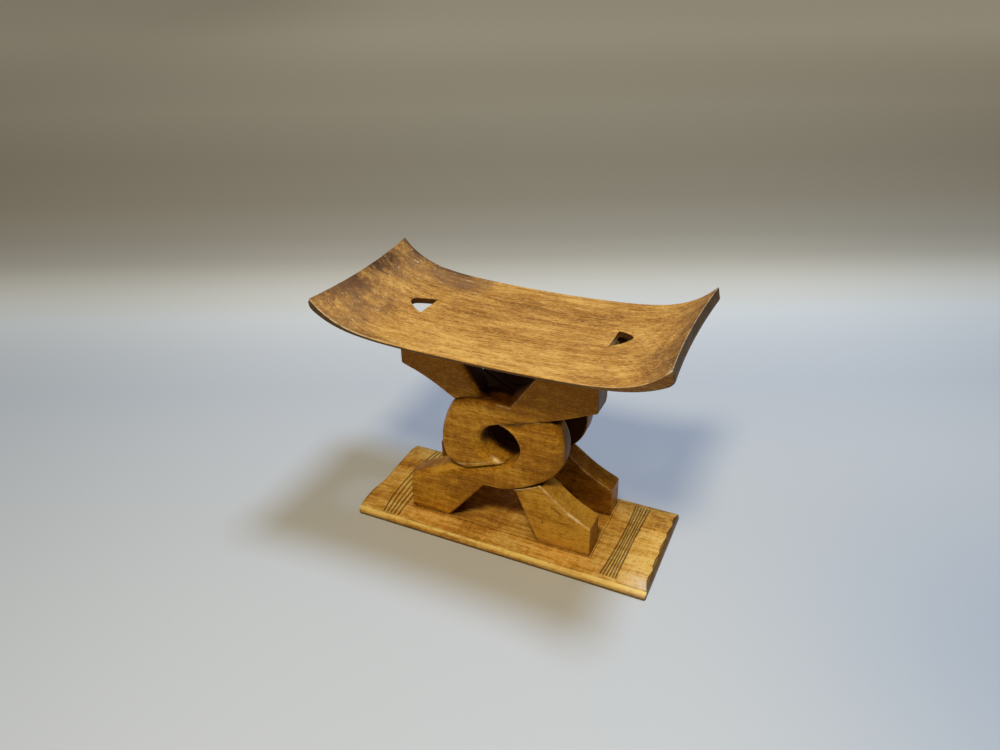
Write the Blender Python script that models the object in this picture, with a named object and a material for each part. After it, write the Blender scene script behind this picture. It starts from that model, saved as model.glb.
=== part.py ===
# Carved wooden stool: a curved seat on two interlaced knot panels over a plank base.
# Metres, +Z up, +X along the stool, -Y towards the front. The origin is the middle of
# the base's underside.

import bmesh
import bpy
import numpy as np

# Whole stool
total_height = 0.380
seam = 0.0003
overrun = 0.020

# Seat, measured between its corner tips
seat_length = 0.487
seat_depth = 0.249
seat_bow = 0.0115
seat_horn = 0.0365
seat_dish = 0.0030
seat_thickness = 0.0085
left_tip_thickness = 0.0150
right_tip_thickness = 0.0200
seat_rim_thickness = 0.0045
seat_rim_reach = 0.0420
seat_tip_lean = 0.0045
seat_side_inset = 0.0045
seat_end_inset = 0.0060
horn_power = 7

# Leaf-shaped finger holes through the seat, each with its straight side towards the middle
left_hole_start = 0.1365
left_hole_width = 0.0458
left_hole_length = 0.0285
left_hole_shift = 0.0037
left_hole_tip_shift = 0.0040
left_hole_tip_width = 0.0080
right_hole_start = 0.1362
right_hole_width = 0.0444
right_hole_length = 0.0240
right_hole_shift = 0.0109
right_hole_tip_shift = 0.0054
right_hole_tip_width = 0.0024
hole_bulge = 0.0030

# Base plank
base_length = 0.466
base_depth = 0.190
base_thickness = 0.0125
base_edge_height = 0.0045
base_bevel = 0.0065
base_shift = 0.0010
scallop_depth = 0.0070
plinth_rise = 0.0025
plinth_margin = 0.0008

# Incised lines across both ends of the base
groove_width = 0.0016
groove_depth = 0.0012
left_groove_margin = 0.0117
left_groove_pitch = 0.0064
left_groove_count = 5
left_groove_length = 0.170
right_groove_margin = 0.0217
right_groove_pitch = 0.0048
right_groove_count = 6
right_groove_length = 0.163

# Knot panels
panel_depth = 0.0385
panel_gap = 0.0585
knot_setback = 0.00975
left_reach = 0.150
right_reach = 0.1395
eye_half_width = 0.0315
eye_half_height = 0.0325
soft_edge = 0.0090
front_inward_edge = 0.0130
back_inward_edge = 0.0020
crisp_edge = 0.0012

# Upper hook: right arm, band over the eye, left turn, limb and right leg
upper_band_width = 0.0345
upper_loop_reach = 0.0935
upper_notch = 0.0163
upper_arm_inside = 0.0760
upper_arm_end_height = 0.0640
upper_leg_root = 0.0230
upper_leg_inside = 0.0600
upper_leg_end_height = 0.0480

# Lower hook: left foot, band under the eye, right turn, limb and left arm
lower_band_width = 0.0460
lower_loop_reach = 0.0970
lower_notch = 0.0276
lower_arm_inside = 0.0860
lower_arm_end_height = 0.0590
lower_leg_root = 0.0290
lower_leg_inside = 0.0670
lower_leg_end_height = 0.0510

# Outer side of each hook, from the notch to the leg's root: shares of the loop's reach
# and of the height of the band's outer side above the middle of the eye
upper_outer_shares = [(-0.04, 1.01), (-0.38, 1.03), (-0.725, 0.89), (-0.88, 0.62), (-0.98, 0.20),
                      (-1.00, -0.20), (-0.92, -0.60), (-0.68, -0.77), (-0.33, -0.84), (0.00, -0.97)]
lower_outer_shares = [(0.00, 0.985), (-0.245, 0.905), (-0.52, 0.75), (-0.75, 0.54), (-0.94, 0.22),
                      (-1.00, -0.15), (-0.96, -0.45), (-0.82, -0.70), (-0.52, -0.80), (0.00, -0.87)]
upper_root_share = 1.13
lower_root_share = 0.92

# Inner side of both hooks round the eye: shares of the eye's half width and half height
eye_side_shares = [(1.43, 1.54), (0.38, 1.18), (-0.19, 1.00), (-0.63, 0.74), (-0.89, 0.43), (-1.00, 0.10),
                   (-0.97, -0.22), (-0.83, -0.51), (-0.60, -0.77), (-0.13, -0.95), (0.83, -1.14), (2.03, -1.72)]
arm_mid_shares = (0.62, 0.425)
leg_mid_shares = (0.725, 0.55)

# How soft the edges are along a hook, as shares of the softest, and how far the outer
# face sinks where it goes under the other hook, as shares of the panel's depth
outer_soft_shares = [0.1, 0.1, 0.1, 0.15, 0.3, 0.6, 1.0, 1.0, 1.0, 1.0, 1.0, 0.8, 0.6, 0.3, 0.1, 0.1, 0.1, 0.1]
inner_soft_shares = [0.1, 0.1, 0.1, 0.15, 0.2, 0.35, 0.6, 0.8, 1.0, 1.0, 1.1, 1.1, 0.8, 0.4, 0.1, 0.1, 0.1, 0.1]
sink_shares = [0, 0, 0, 0, 0, 0, 0, 0, 0, 0, 0, 0, 0.08, 0.14, 0.09, 0.03, 0, 0]
row_steps = [1, 2, 2, 2, 3, 3, 4, 3, 3, 3, 4, 4, 3, 3, 2, 2, 1]
corner_limit_share = 0.45
far_times = 4

# Top edge of the base's short ends: places along the depth and cuts into the length
right_end_shares = [(-1.0, 0.0), (-0.86, 0.28), (-0.66, 0.80), (-0.42, 0.62), (-0.22, 0.95), (0.0, 0.72),
                    (0.22, 1.0), (0.45, 0.98), (0.66, 0.78), (0.84, 0.90), (1.0, 0.25)]
left_end_shares = [(-1.0, 0.40), (-0.88, 0.25), (-0.56, 0.0), (-0.38, 0.30), (-0.22, 0.62), (0.05, 0.58),
                   (0.25, 0.40), (0.46, 0.42), (0.70, 0.22), (0.84, 0.15), (1.0, 0.75)]

# Worked out from the sizes above
half_length = seat_length / 2
half_depth = seat_depth / 2
plinth_top = base_thickness + plinth_rise
seat_under_mid = total_height - seat_bow - seat_horn - seat_dish - seat_thickness
knot_half = (seat_under_mid - plinth_top) / 2
knot_mid = (seat_under_mid + plinth_top) / 2
front_face = knot_setback - panel_gap / 2 - panel_depth
back_face = knot_setback + panel_gap / 2 + panel_depth


def clear_scene():
    for thing in list(bpy.data.objects):
        bpy.data.objects.remove(thing, do_unlink=True)


def wood(name, colour, roughness):
    material = bpy.data.materials.new(name)
    material.use_nodes = True
    shader = material.node_tree.nodes["Principled BSDF"]
    shader.inputs["Base Color"].default_value = (*colour, 1.0)
    shader.inputs["Roughness"].default_value = roughness
    shader.inputs["Metallic"].default_value = 0.0
    return material


def closed_object(name, points, faces, material=None):
    mesh = bpy.data.meshes.new(name)
    mesh.from_pydata([tuple(point) for point in points], [], faces)
    work = bmesh.new()
    work.from_mesh(mesh)
    bmesh.ops.remove_doubles(work, verts=work.verts, dist=seam / 100)
    bmesh.ops.recalc_face_normals(work, faces=work.faces)
    work.to_mesh(mesh)
    work.free()
    thing = bpy.data.objects.new(name, mesh)
    bpy.context.scene.collection.objects.link(thing)
    if material is not None:
        mesh.materials.append(material)
    return thing


def as_cutter(thing):
    thing.hide_render = True
    thing.display_type = "WIRE"
    return thing


def cut(thing, cutter, operation="DIFFERENCE"):
    modifier = thing.modifiers.new("cut", "BOOLEAN")
    modifier.operation = operation
    modifier.object = cutter
    modifier.solver = "EXACT"


def shade_soft(thing, angle=0.6):
    thing.data.shade_smooth()
    thing.data.set_sharp_from_angle(angle=angle)


def box(low, high):
    points = [(x, y, z) for z in (low[2], high[2]) for y in (low[1], high[1]) for x in (low[0], high[0])]
    faces = [(0, 2, 3, 1), (4, 5, 7, 6), (0, 1, 5, 4), (2, 6, 7, 3), (0, 4, 6, 2), (1, 3, 7, 5)]
    return points, faces


def stack_of_rings(rings):
    # Equal rings of points, one above the other, with both ends filled
    count = len(rings[0])
    points = [point for ring in rings for point in ring]
    faces = [tuple(range(count))]
    for level in range(len(rings) - 1):
        start = level * count
        for i in range(count):
            j = (i + 1) % count
            faces.append((start + i, start + j, start + count + j, start + count + i))
    faces.append(tuple(range((len(rings) - 1) * count, len(rings) * count)))
    return points, faces


# Seat

def seat_top(u, v):
    # u and v run from -1 to 1 along the length and the depth. The surface is a shallow
    # bow with steep horns at its ends, dished across, on a plan with hollow sides.
    x = u * (half_length - seat_end_inset * (1 - v ** 2))
    y = v * (half_depth - seat_side_inset * (1 - u ** 2))
    z = (total_height - seat_bow * (1 - u ** 2) - seat_horn * (1 - np.abs(u) ** horn_power)
         - seat_dish * (1 - v ** 2))
    return x, y, z


def seat_wall(u, v):
    # Full thickness in the middle, thin along the long rims and thick at the tips
    inwards = np.clip((1 - np.abs(v)) * half_depth / seat_rim_reach, 0, 1)
    blend = inwards * (2 - inwards)
    middle = seat_rim_thickness + (seat_thickness - seat_rim_thickness) * blend
    tip = np.where(u < 0, left_tip_thickness, right_tip_thickness)
    return middle + (tip - middle) * np.abs(u) ** horn_power


def seat_under(u, v, drop=0.0):
    x, y, z = seat_top(u, v)
    lean = seat_tip_lean * np.sign(u) * np.abs(u) ** horn_power
    return x + lean, y, z - seat_wall(u, v) - drop


def seat_grid():
    lengthwise = np.linspace(-1, 1, 41)
    lengthwise = np.sign(lengthwise) * (1 - (1 - np.abs(lengthwise)) ** 1.25)
    across = np.array([-1, -0.9, -0.78, -0.66, -0.4, 0, 0.4, 0.66, 0.78, 0.9, 1])
    return np.meshgrid(lengthwise, across, indexing="ij")


def plate_mesh(top, bottom):
    rows, columns = top[0].shape
    points = np.concatenate([np.stack(side, -1).reshape(-1, 3) for side in (top, bottom)])
    below = rows * columns
    faces = []
    for i in range(rows - 1):
        for j in range(columns - 1):
            corners = [i * columns + j, (i + 1) * columns + j, (i + 1) * columns + j + 1, i * columns + j + 1]
            faces.append(tuple(corners))
            faces.append(tuple(below + corner for corner in reversed(corners)))
    rim = [(i, 0) for i in range(rows)]
    rim += [(rows - 1, j) for j in range(1, columns)]
    rim += [(i, columns - 1) for i in range(rows - 2, -1, -1)]
    rim += [(0, j) for j in range(columns - 2, 0, -1)]
    rim = [i * columns + j for i, j in rim]
    for here, there in zip(rim, rim[1:] + rim[:1]):
        faces.append((here, below + here, below + there, there))
    return points, faces


def leaf_outline(side, start, width, length, shift, tip_shift, tip_width):
    # A straight side towards the seat's middle and two bulging sides to a short outer end
    steps = np.linspace(0, 1, 7)
    front, back = np.array([0, -width / 2]), np.array([0, width / 2])
    tip_front, tip_back = (np.array([length, tip_shift + half]) for half in (-tip_width / 2, tip_width / 2))
    outline = []
    for corner, tip, away in ((back, tip_back, 1), (front, tip_front, -1)):
        along = tip - corner
        out = np.array([-along[1], along[0]]) * away / np.linalg.norm(along)
        curve = [corner + along * t + out * hole_bulge * 4 * t * (1 - t) for t in steps]
        outline += curve if away == 1 else curve[::-1]
    return [(side * (start + x), y + shift) for x, y in outline]


def finger_hole(name, outline):
    rings = [[(x, y, z) for x, y in outline] for z in (seat_under_mid - overrun, total_height + overrun)]
    return as_cutter(closed_object(name, *stack_of_rings(rings)))


def make_seat(material):
    u, v = seat_grid()
    seat = closed_object("seat", *plate_mesh(seat_top(u, v), seat_under(u, v)), material)
    left = leaf_outline(-1, left_hole_start, left_hole_width, left_hole_length, left_hole_shift,
                        left_hole_tip_shift, left_hole_tip_width)
    right = leaf_outline(1, right_hole_start, right_hole_width, right_hole_length, right_hole_shift,
                         right_hole_tip_shift, right_hole_tip_width)
    cut(seat, finger_hole("left_hole_cutter", left))
    cut(seat, finger_hole("right_hole_cutter", right))
    shade_soft(seat)
    return seat


def seat_cutter():
    # All that lies above the seat's underside, lowered by a seam, which trims the arms
    u, v = seat_grid()
    x, y, z = seat_top(u, v)
    top = (x, y, np.full_like(z, total_height + overrun))
    return as_cutter(closed_object("seat_cutter", *plate_mesh(top, seat_under(u, v, seam))))


# Base

def base_outline(right_cuts, left_cuts, inset):
    # Once round the plan, with the short ends cut back at each place on them
    half = base_length / 2
    side = base_depth / 2 - inset
    right = [(base_shift + half - deep, place * side) for place, deep in right_cuts]
    left = [(base_shift + deep - half, place * side) for place, deep in reversed(left_cuts)]
    return right + left


def groove(x, length):
    # A ridge with its point down, sunk into the base's top
    half = groove_width / 2
    tall = groove_depth
    ends = []
    for y in (-length / 2, length / 2):
        ends.append([(x - 2 * half, y, base_thickness + tall), (x + 2 * half, y, base_thickness + tall),
                     (x, y, base_thickness - tall)])
    return stack_of_rings(ends)


def groove_cutter():
    points, faces = [], []
    first_left = -left_reach - plinth_margin - left_groove_margin
    first_right = right_reach + plinth_margin + right_groove_margin
    places = [(first_left - i * left_groove_pitch, left_groove_length) for i in range(left_groove_count)]
    places += [(first_right + i * right_groove_pitch, right_groove_length) for i in range(right_groove_count)]
    for x, length in places:
        more_points, more_faces = groove(x, length)
        faces += [tuple(len(points) + i for i in face) for face in more_faces]
        points += more_points
    return as_cutter(closed_object("groove_cutter", points, faces))


def make_base(material):
    flat_right = [(place, 0) for place, share in right_end_shares]
    flat_left = [(place, 0) for place, share in left_end_shares]
    right = [(place, share * scallop_depth) for place, share in right_end_shares]
    left = [(place, share * scallop_depth) for place, share in left_end_shares]
    wide = base_outline(flat_right, flat_left, 0)
    narrow = base_outline(right, left, base_bevel)
    rings = [[(x, y, 0) for x, y in wide], [(x, y, base_edge_height) for x, y in wide],
             [(x, y, base_thickness) for x, y in narrow]]
    base = closed_object("base", *stack_of_rings(rings), material)
    low = (-left_reach - plinth_margin, front_face - plinth_margin, base_thickness / 2)
    high = (right_reach + plinth_margin, back_face + plinth_margin, plinth_top)
    plinth = as_cutter(closed_object("plinth_block", *box(low, high)))
    cut(base, plinth, "UNION")
    cut(base, groove_cutter())
    return base


# Knot

def spline(points, steps):
    # Catmull-Rom curve through the points, with its own number of steps in each span
    padded = np.vstack([2 * points[0] - points[1], points, 2 * points[-1] - points[-2]])
    path = []
    for i, count in enumerate(steps):
        before, here, there, after = padded[i:i + 4]
        for t in np.arange(count) / count:
            path.append(0.5 * (2 * here + (there - before) * t
                               + (2 * before - 5 * here + 4 * there - after) * t ** 2
                               + (3 * here - before - 3 * there + after) * t ** 3))
    return path


def straight(points, steps):
    path = []
    for here, there, count in zip(points, points[1:], steps):
        path += [here + (there - here) * t for t in np.arange(count) / count]
    return path


def spread(values, steps):
    return np.array(straight(np.array(values, float).reshape(-1, 1), steps) + [[values[-1]]])[:, 0]


class Hook:
    # One strap of a panel, drawn with its opening to the right, about the knot's middle.
    # Its rows are pairs of points across the strap, from beyond the seat's or base's
    # level at one end, round the eye, and past that level at the other end.

    def __init__(self, reach, band, loop, notch, arm_inside, arm_end, root, leg_inside, leg_end,
                 outer_shares, root_share):
        over = eye_half_height + band
        notch_point = np.array([notch, over])
        root_point = np.array([root, -root_share * over])
        arm_toe = np.array([arm_inside, knot_half])
        leg_toe = np.array([leg_inside, -knot_half])
        arm_end_point = np.array([reach, knot_half - arm_end])
        arm_mid = np.array([arm_mid_shares[0] * reach, arm_mid_shares[1] * knot_half])
        leg_end_point = np.array([reach, leg_end - knot_half])
        leg_mid = np.array([leg_mid_shares[0] * reach, -leg_mid_shares[1] * knot_half])
        turn = np.array([(a * loop, b * over) for a, b in outer_shares])
        eye = np.array([(a * eye_half_width, b * eye_half_height) for a, b in eye_side_shares])

        arm_outer = [notch_point + far_times * (arm_toe - notch_point), arm_toe,
                     (arm_toe + notch_point) / 2, notch_point]
        leg_outer = [root_point, (leg_toe + root_point) / 2, leg_toe,
                     root_point + far_times * (leg_toe - root_point)]
        round_outer = np.vstack([notch_point, turn, root_point])
        outer = straight(arm_outer, row_steps[:3])
        outer += spline(round_outer, row_steps[3:14])
        outer += straight(leg_outer, row_steps[14:])
        self.outer = np.array(outer + [leg_outer[-1]])

        arm_far = arm_end_point + far_times * (arm_end_point - arm_mid)
        leg_far = leg_end_point + far_times * (leg_end_point - leg_mid)
        round_inner = np.vstack([arm_end_point, arm_mid, eye, leg_mid, leg_end_point])
        inner = straight([arm_far, arm_end_point], row_steps[:1])
        inner += spline(round_inner, row_steps[1:16])
        inner += straight([leg_end_point, leg_far], row_steps[16:])
        self.inner = np.array(inner + [leg_far])

        self.outer_soft = spread(outer_soft_shares, row_steps)
        self.inner_soft = spread(inner_soft_shares, row_steps)
        self.sink = spread(sink_shares, row_steps) * panel_depth
        self.turn_start = sum(row_steps[:9])
        self.turn_end = sum(row_steps[:10])

    def rings(self, inward_edge):
        # A rounded oblong across the strap at each row, as (x, z, depth behind the face)
        quarter = np.linspace(0, np.pi / 2, 4)
        rings = []
        rows = zip(self.outer, self.inner, self.outer_soft, self.inner_soft, self.sink)
        for outer, inner, outer_soft, inner_soft, sink in rows:
            width = np.linalg.norm(inner - outer)
            across = (inner - outer) / width
            widest = corner_limit_share * min(width, panel_depth)
            ro = min(outer_soft * soft_edge, widest)
            ri = min(inner_soft * soft_edge, widest)
            rb = min(max(outer_soft * inward_edge, crisp_edge), widest)
            section = [(ro - ro * np.cos(a), sink + ro - ro * np.sin(a)) for a in quarter]
            section += [(width - ri + ri * np.sin(a), sink + ri - ri * np.cos(a)) for a in quarter]
            section += [(width, panel_depth - crisp_edge), (width - crisp_edge, panel_depth)]
            section += [(rb - rb * np.sin(a), panel_depth - rb + rb * np.cos(a)) for a in quarter]
            rings.append([(*(outer + across * w), d) for w, d in section])
        return rings

    def half_rings(self, start, end, near, far):
        # Square rings of the strap widened by a seam, between two depths, for cutting
        grown_outer, grown_inner = (self.widened(self.outer, self.inner), self.widened(self.inner, self.outer))
        return [[(*grown_outer[i], near), (*grown_inner[i], near), (*grown_inner[i], far), (*grown_outer[i], far)]
                for i in range(start, end)]

    def widened(self, side, other):
        along = np.gradient(side, axis=0)
        away = np.stack([-along[:, 1], along[:, 0]], -1)
        away /= np.linalg.norm(away, axis=1)[:, None]
        flip = np.sign(np.sum(away * (side - other), axis=1))
        return side + away * flip[:, None] * seam


def placed(rings, turned, back):
    # From the hook's own axes to the stool's: half a turn makes the lower hook, and the
    # back panel is the front one mirrored
    sign = -1 if turned else 1
    for ring in rings:
        yield [(sign * x, back_face - d if back else front_face + d, knot_mid + sign * z) for x, z, d in ring]


def weave_cutter(name, hook, turned, back):
    # The front half of the hook's own crossing, and the back half of the other one
    middle = panel_depth / 2
    front = list(placed(hook.half_rings(1, hook.turn_start, -overrun, middle + seam / 2), turned, back))
    behind = list(placed(hook.half_rings(hook.turn_end, len(hook.outer) - 1, middle - seam / 2,
                                         panel_depth + overrun), turned, back))
    points, faces = stack_of_rings(front)
    more_points, more_faces = stack_of_rings(behind)
    faces = faces + [tuple(len(points) + i for i in face) for face in more_faces]
    return as_cutter(closed_object(name, points + more_points, faces))


def make_knot(upper_material, lower_material):
    upper = Hook(right_reach, upper_band_width, upper_loop_reach, upper_notch, upper_arm_inside,
                 upper_arm_end_height, upper_leg_root, upper_leg_inside, upper_leg_end_height,
                 upper_outer_shares, upper_root_share)
    lower = Hook(left_reach, lower_band_width, lower_loop_reach, lower_notch, lower_arm_inside,
                 lower_arm_end_height, lower_leg_root, lower_leg_inside, lower_leg_end_height,
                 lower_outer_shares, lower_root_share)
    low = (-left_reach, front_face - overrun, plinth_top + seam)
    high = (right_reach, back_face + overrun, total_height)
    room = as_cutter(closed_object("knot_room", *box(low, high)))
    under_seat = seat_cutter()
    for panel, back, inward_edge in (("front", False, front_inward_edge), ("back", True, back_inward_edge)):
        over_cutter = weave_cutter(panel + "_upper_cutter", upper, False, back)
        under_cutter = weave_cutter(panel + "_lower_cutter", lower, True, back)
        for name, hook, turned, other, material in (
                ("upper_hook", upper, False, under_cutter, upper_material),
                ("lower_hook", lower, True, over_cutter, lower_material)):
            rings = list(placed(hook.rings(inward_edge), turned, back))
            strap = closed_object(panel + "_" + name, *stack_of_rings(rings), material)
            cut(strap, room, "INTERSECT")
            cut(strap, under_seat)
            cut(strap, other)
            shade_soft(strap)


def main():
    clear_scene()
    make_base(wood("base_wood", (0.47, 0.24, 0.075), 0.42))
    make_knot(wood("upper_hook_wood", (0.36, 0.17, 0.05), 0.38), wood("lower_hook_wood", (0.38, 0.18, 0.055), 0.38))
    make_seat(wood("seat_wood", (0.44, 0.23, 0.08), 0.40))


main()
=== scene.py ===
# Looks for the carved stool: worked surfaces, oiled and worn hardwood, floor, light and camera.
# Metres, +Z up, +X along the stool, -Y towards the front.

import math

import bmesh
import bpy
import numpy as np
from mathutils import Matrix, Vector


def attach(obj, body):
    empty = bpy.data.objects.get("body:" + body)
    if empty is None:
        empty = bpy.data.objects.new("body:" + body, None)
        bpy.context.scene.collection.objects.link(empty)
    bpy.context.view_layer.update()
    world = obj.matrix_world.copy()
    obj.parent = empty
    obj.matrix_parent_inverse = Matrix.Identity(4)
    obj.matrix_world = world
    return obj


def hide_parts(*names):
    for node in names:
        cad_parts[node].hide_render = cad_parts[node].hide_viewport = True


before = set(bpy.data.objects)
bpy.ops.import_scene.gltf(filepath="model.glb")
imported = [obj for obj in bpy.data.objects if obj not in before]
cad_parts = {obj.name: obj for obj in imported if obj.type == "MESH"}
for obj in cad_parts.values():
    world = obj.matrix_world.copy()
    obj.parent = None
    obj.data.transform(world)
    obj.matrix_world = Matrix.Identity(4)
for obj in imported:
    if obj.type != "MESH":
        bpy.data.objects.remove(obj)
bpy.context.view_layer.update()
print("frame loaded:", ", ".join(sorted(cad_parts)))


# Camera and light

cameraView = {
    "place": (0.3990, -0.8991, 0.8204),
    "yaw": 25.21,            # degrees to the left of straight ahead
    "pitch": 29.97,          # degrees down
    "roll": -0.90,
    "lens": 29.04,           # mm, on a 36 mm sensor
    "sensor": 36.0,
}

studio = {
    "floorSize": 30.0,
    # Floor colours, with painted light and shade, at distances behind the stool, in shares of toneReach
    "toneReach": 10.0,
    "floorTonesAndLight": ((0.000, (0.67, 0.665, 0.65)), (0.040, (0.69, 0.70, 0.71)), (0.055, (0.79, 0.79, 0.78)),
                   (0.072, (0.95, 0.94, 0.88)), (0.080, (0.97, 0.92, 0.80)), (0.088, (0.95, 0.88, 0.74)),
                   (0.097, (0.84, 0.76, 0.60)), (0.108, (0.66, 0.58, 0.44)), (0.125, (0.55, 0.48, 0.35)),
                   (0.158, (0.51, 0.43, 0.29)), (0.207, (0.57, 0.48, 0.315)), (0.300, (0.80, 0.69, 0.46))),
    # Painted shade on the floor at both sides, and on its near right part
    "dimMiddle": 0.15, "dimAside": (0.45, 1.25), "dimAlong": (1.6, 0.9), "dim": (0.87, 0.89, 0.90),
    "nearAcross": (0.15, 0.75), "nearAlong": (0.20, -0.35), "nearDim": (0.72, 0.80, 0.92),
    # A painted glow that camera rays alone see, added far off, and less of it far to the left
    "paleAlong": (1.6, 6.0), "pale": (0.170, 0.163, 0.122), "paleAcross": (-0.5, -3.0, 1.0, 0.66),
    "floorRoughness": 0.6,
    "keyPlace": (0.24, -1.54, 2.6), "keySize": 0.6, "keyPower": 41, "keyColour": (1.0, 0.92, 0.66),
    "coolPlace": (0.73, 0.52, 3.34), "coolSize": 0.8, "coolPower": 68, "coolColour": (0.57, 0.74, 1.0),
    "fillPlace": (-0.9, -2.0, 1.1), "fillSize": 1.4, "fillPower": 2.0, "fillColour": (1.0, 0.80, 0.52),
    "aim": (0, 0, 0.2),
    "worldLight": (0.104, 0.086, 0.082), "worldSeen": (0.330, 0.310, 0.270),
}


def makeCamera(view):
    # Looks along yaw and pitch, then turns about its own axis by the roll
    yaw, pitch, roll = (math.radians(view[key]) for key in ("yaw", "pitch", "roll"))
    ahead = Vector((-math.sin(yaw) * math.cos(pitch), math.cos(yaw) * math.cos(pitch), -math.sin(pitch)))
    level = Vector((math.cos(yaw), math.sin(yaw), 0))
    up = level.cross(ahead)
    right = math.cos(roll) * level + math.sin(roll) * up
    above = -math.sin(roll) * level + math.cos(roll) * up
    lens = bpy.data.cameras.new("camera")
    lens.lens = view["lens"]
    lens.sensor_width = view["sensor"]
    lens.clip_start = 0.01
    camera = bpy.data.objects.new("camera", lens)
    turn = Matrix((right, above, -ahead)).transposed().to_4x4()
    camera.matrix_world = Matrix.Translation(view["place"]) @ turn
    bpy.context.scene.collection.objects.link(camera)
    bpy.context.scene.camera = camera


def makeLamp(name, place, size, power, colour):
    data = bpy.data.lights.new(name, "AREA")
    data.shape = "DISK"
    data.size = size
    data.energy = power
    data.color = colour
    lamp = bpy.data.objects.new(name, data)
    lamp.location = place
    lamp.rotation_euler = (Vector(studio["aim"]) - Vector(place)).to_track_quat("-Z", "Y").to_euler()
    bpy.context.scene.collection.objects.link(lamp)


# Node helpers

def addNode(tree, kind, values=None, **settings):
    node = tree.nodes.new(kind)
    for key, value in settings.items():
        setattr(node, key, value)
    for key, value in (values or {}).items():
        if isinstance(value, bpy.types.NodeSocket):
            tree.links.new(value, node.inputs[key])
        else:
            node.inputs[key].default_value = value
    return node


def calculate(tree, operation, first, second=0.0, clamp=False):
    values = {0: first} if second is None else {0: first, 1: second}
    return addNode(tree, "ShaderNodeMath", values, operation=operation, use_clamp=clamp).outputs[0]


def vectorMath(tree, operation, values, output=0):
    return addNode(tree, "ShaderNodeVectorMath", values, operation=operation).outputs[output]


def between(tree, value, low, high, lowOut=0.0, highOut=1.0):
    # A smooth step from low to high
    values = {"Value": value, "From Min": low, "From Max": high, "To Min": lowOut, "To Max": highOut}
    return addNode(tree, "ShaderNodeMapRange", values, interpolation_type="SMOOTHSTEP").outputs[0]


def placed(tree, vector, scale, turn=(0, 0, 0), shift=(0, 0, 0)):
    values = {"Vector": vector, "Scale": scale, "Rotation": turn, "Location": shift}
    return addNode(tree, "ShaderNodeMapping", values).outputs[0]


def noise(tree, vector, scale, detail=3.0, roughness=0.55, distortion=0.0):
    values = {"Vector": vector, "Scale": scale, "Detail": detail, "Roughness": roughness,
              "Distortion": distortion}
    return addNode(tree, "ShaderNodeTexNoise", values)


def blendColour(tree, factor, first, second, mode="MIX"):
    node = tree.nodes.new("ShaderNodeMix")
    node.data_type = "RGBA"
    node.blend_type = mode
    node.clamp_factor = True
    for socket, value in ((node.inputs[0], factor), (node.inputs[6], first), (node.inputs[7], second)):
        if isinstance(value, bpy.types.NodeSocket):
            tree.links.new(value, socket)
        elif isinstance(value, tuple):
            socket.default_value = (*value, 1)
        else:
            socket.default_value = value
    return node.outputs[2]


def colourRamp(tree, value, stops):
    node = addNode(tree, "ShaderNodeValToRGB", {"Fac": value})
    ramp = node.color_ramp
    while len(ramp.elements) < len(stops):
        ramp.elements.new(0.5)
    for element, (place, colour) in zip(ramp.elements, stops):
        element.position = place
        element.color = (*colour, 1)
    return node.outputs[0]


def named(tree, name):
    return addNode(tree, "ShaderNodeAttribute", attribute_name=name).outputs["Fac"]


def makeWorld(light, seen):
    # Dim light from all round, and a paler backdrop where the camera looks past the floor
    world = bpy.data.worlds.new("softRoom")
    world.use_nodes = True
    background = world.node_tree.nodes["Background"]
    looking = addNode(world.node_tree, "ShaderNodeLightPath").outputs["Is Camera Ray"]
    world.node_tree.links.new(blendColour(world.node_tree, looking, light, seen), background.inputs["Color"])
    bpy.context.scene.world = world


# Wood

# What all four finishes share. Patterns: scale along X, Y and Z, detail, roughness and
# distortion. Steps: the pattern's values between which a mark comes in, or its share changes.
grainForm = {
    "streaks": ((9, 130, 130), 3, 0.6, 0.0),
    "fibres": ((45, 420, 420), 3, 0.7, 0.0),
    "ripple": ((150, 40, 40), 3, 0.6, 0.4),
    "clouds": ((13, 26, 26), 3, 0.6, 0.0),
    "chips": ((170, 620, 620), 2, 0.65, 0.0),
    "dashes": ((75, 260, 260), 2, 0.6, 0.0),
    "mottle": ((60, 130, 130), 4, 0.7, 0.3),
    "scuffs": ((110, 210, 210), 2, 0.6, 0.6), "scuffTurn": (0, 0, 0.4),
    "swayScale": (3, 9, 9), "ringStretch": (0.12, 1, 1), "pitStretch": (0.55, 1, 1), "pitSize": 0.13,
    "paleChips": (0.54, 0.68), "darkPores": (0.46, 0.32), "darkDashes": (0.62, 0.72),
    "paleScuffs": (0.64, 0.74), "scuffsWhereDulledAndShaded": (0.0, 0.5, 0.25, 1.0),
    "patinaAndShadeBreaks": (0.40, 0.60, 1.0, 0.30), "stainBreaks": (0.42, 0.62, 1.0, 0.10),
    "dirtAndShadeBreaks": (0.25, 0.60, 1.0, 0.70), "wearAndSheenBreaks": (0.40, 0.56, 0.35, 1.0),
    "tintShare": 0.5, "darkShare": 0.85, "bumpDistance": 0.0008,
}


def weighed(tree, parts, total=0.0):
    # The sum of the patterns, each times its share
    for value, share in parts:
        values = {0: value, 1: share, 2: total}
        total = addNode(tree, "ShaderNodeMath", values, operation="MULTIPLY_ADD").outputs[0]
    return total


def swayedPlace(tree, place, amount):
    # Object coordinates pushed about by a slow noise, so that the grain isn't ruled
    drift = noise(tree, placed(tree, place, grainForm["swayScale"]), 1.0, 2).outputs["Color"]
    drift = vectorMath(tree, "SUBTRACT", {0: drift, 1: (0.5, 0.5, 0.5)})
    return vectorMath(tree, "ADD", {0: place, 1: vectorMath(tree, "SCALE", {0: drift, "Scale": amount})})


def ringPattern(tree, vector, pith, density):
    # Noise read along the distance from a pith line that runs along X
    aside = placed(tree, vector, grainForm["ringStretch"], shift=pith)
    radius = vectorMath(tree, "LENGTH", {0: aside}, "Value")
    along = addNode(tree, "ShaderNodeCombineXYZ", {"X": radius}).outputs[0]
    return noise(tree, along, density, 3, 0.62).outputs["Fac"]


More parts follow.
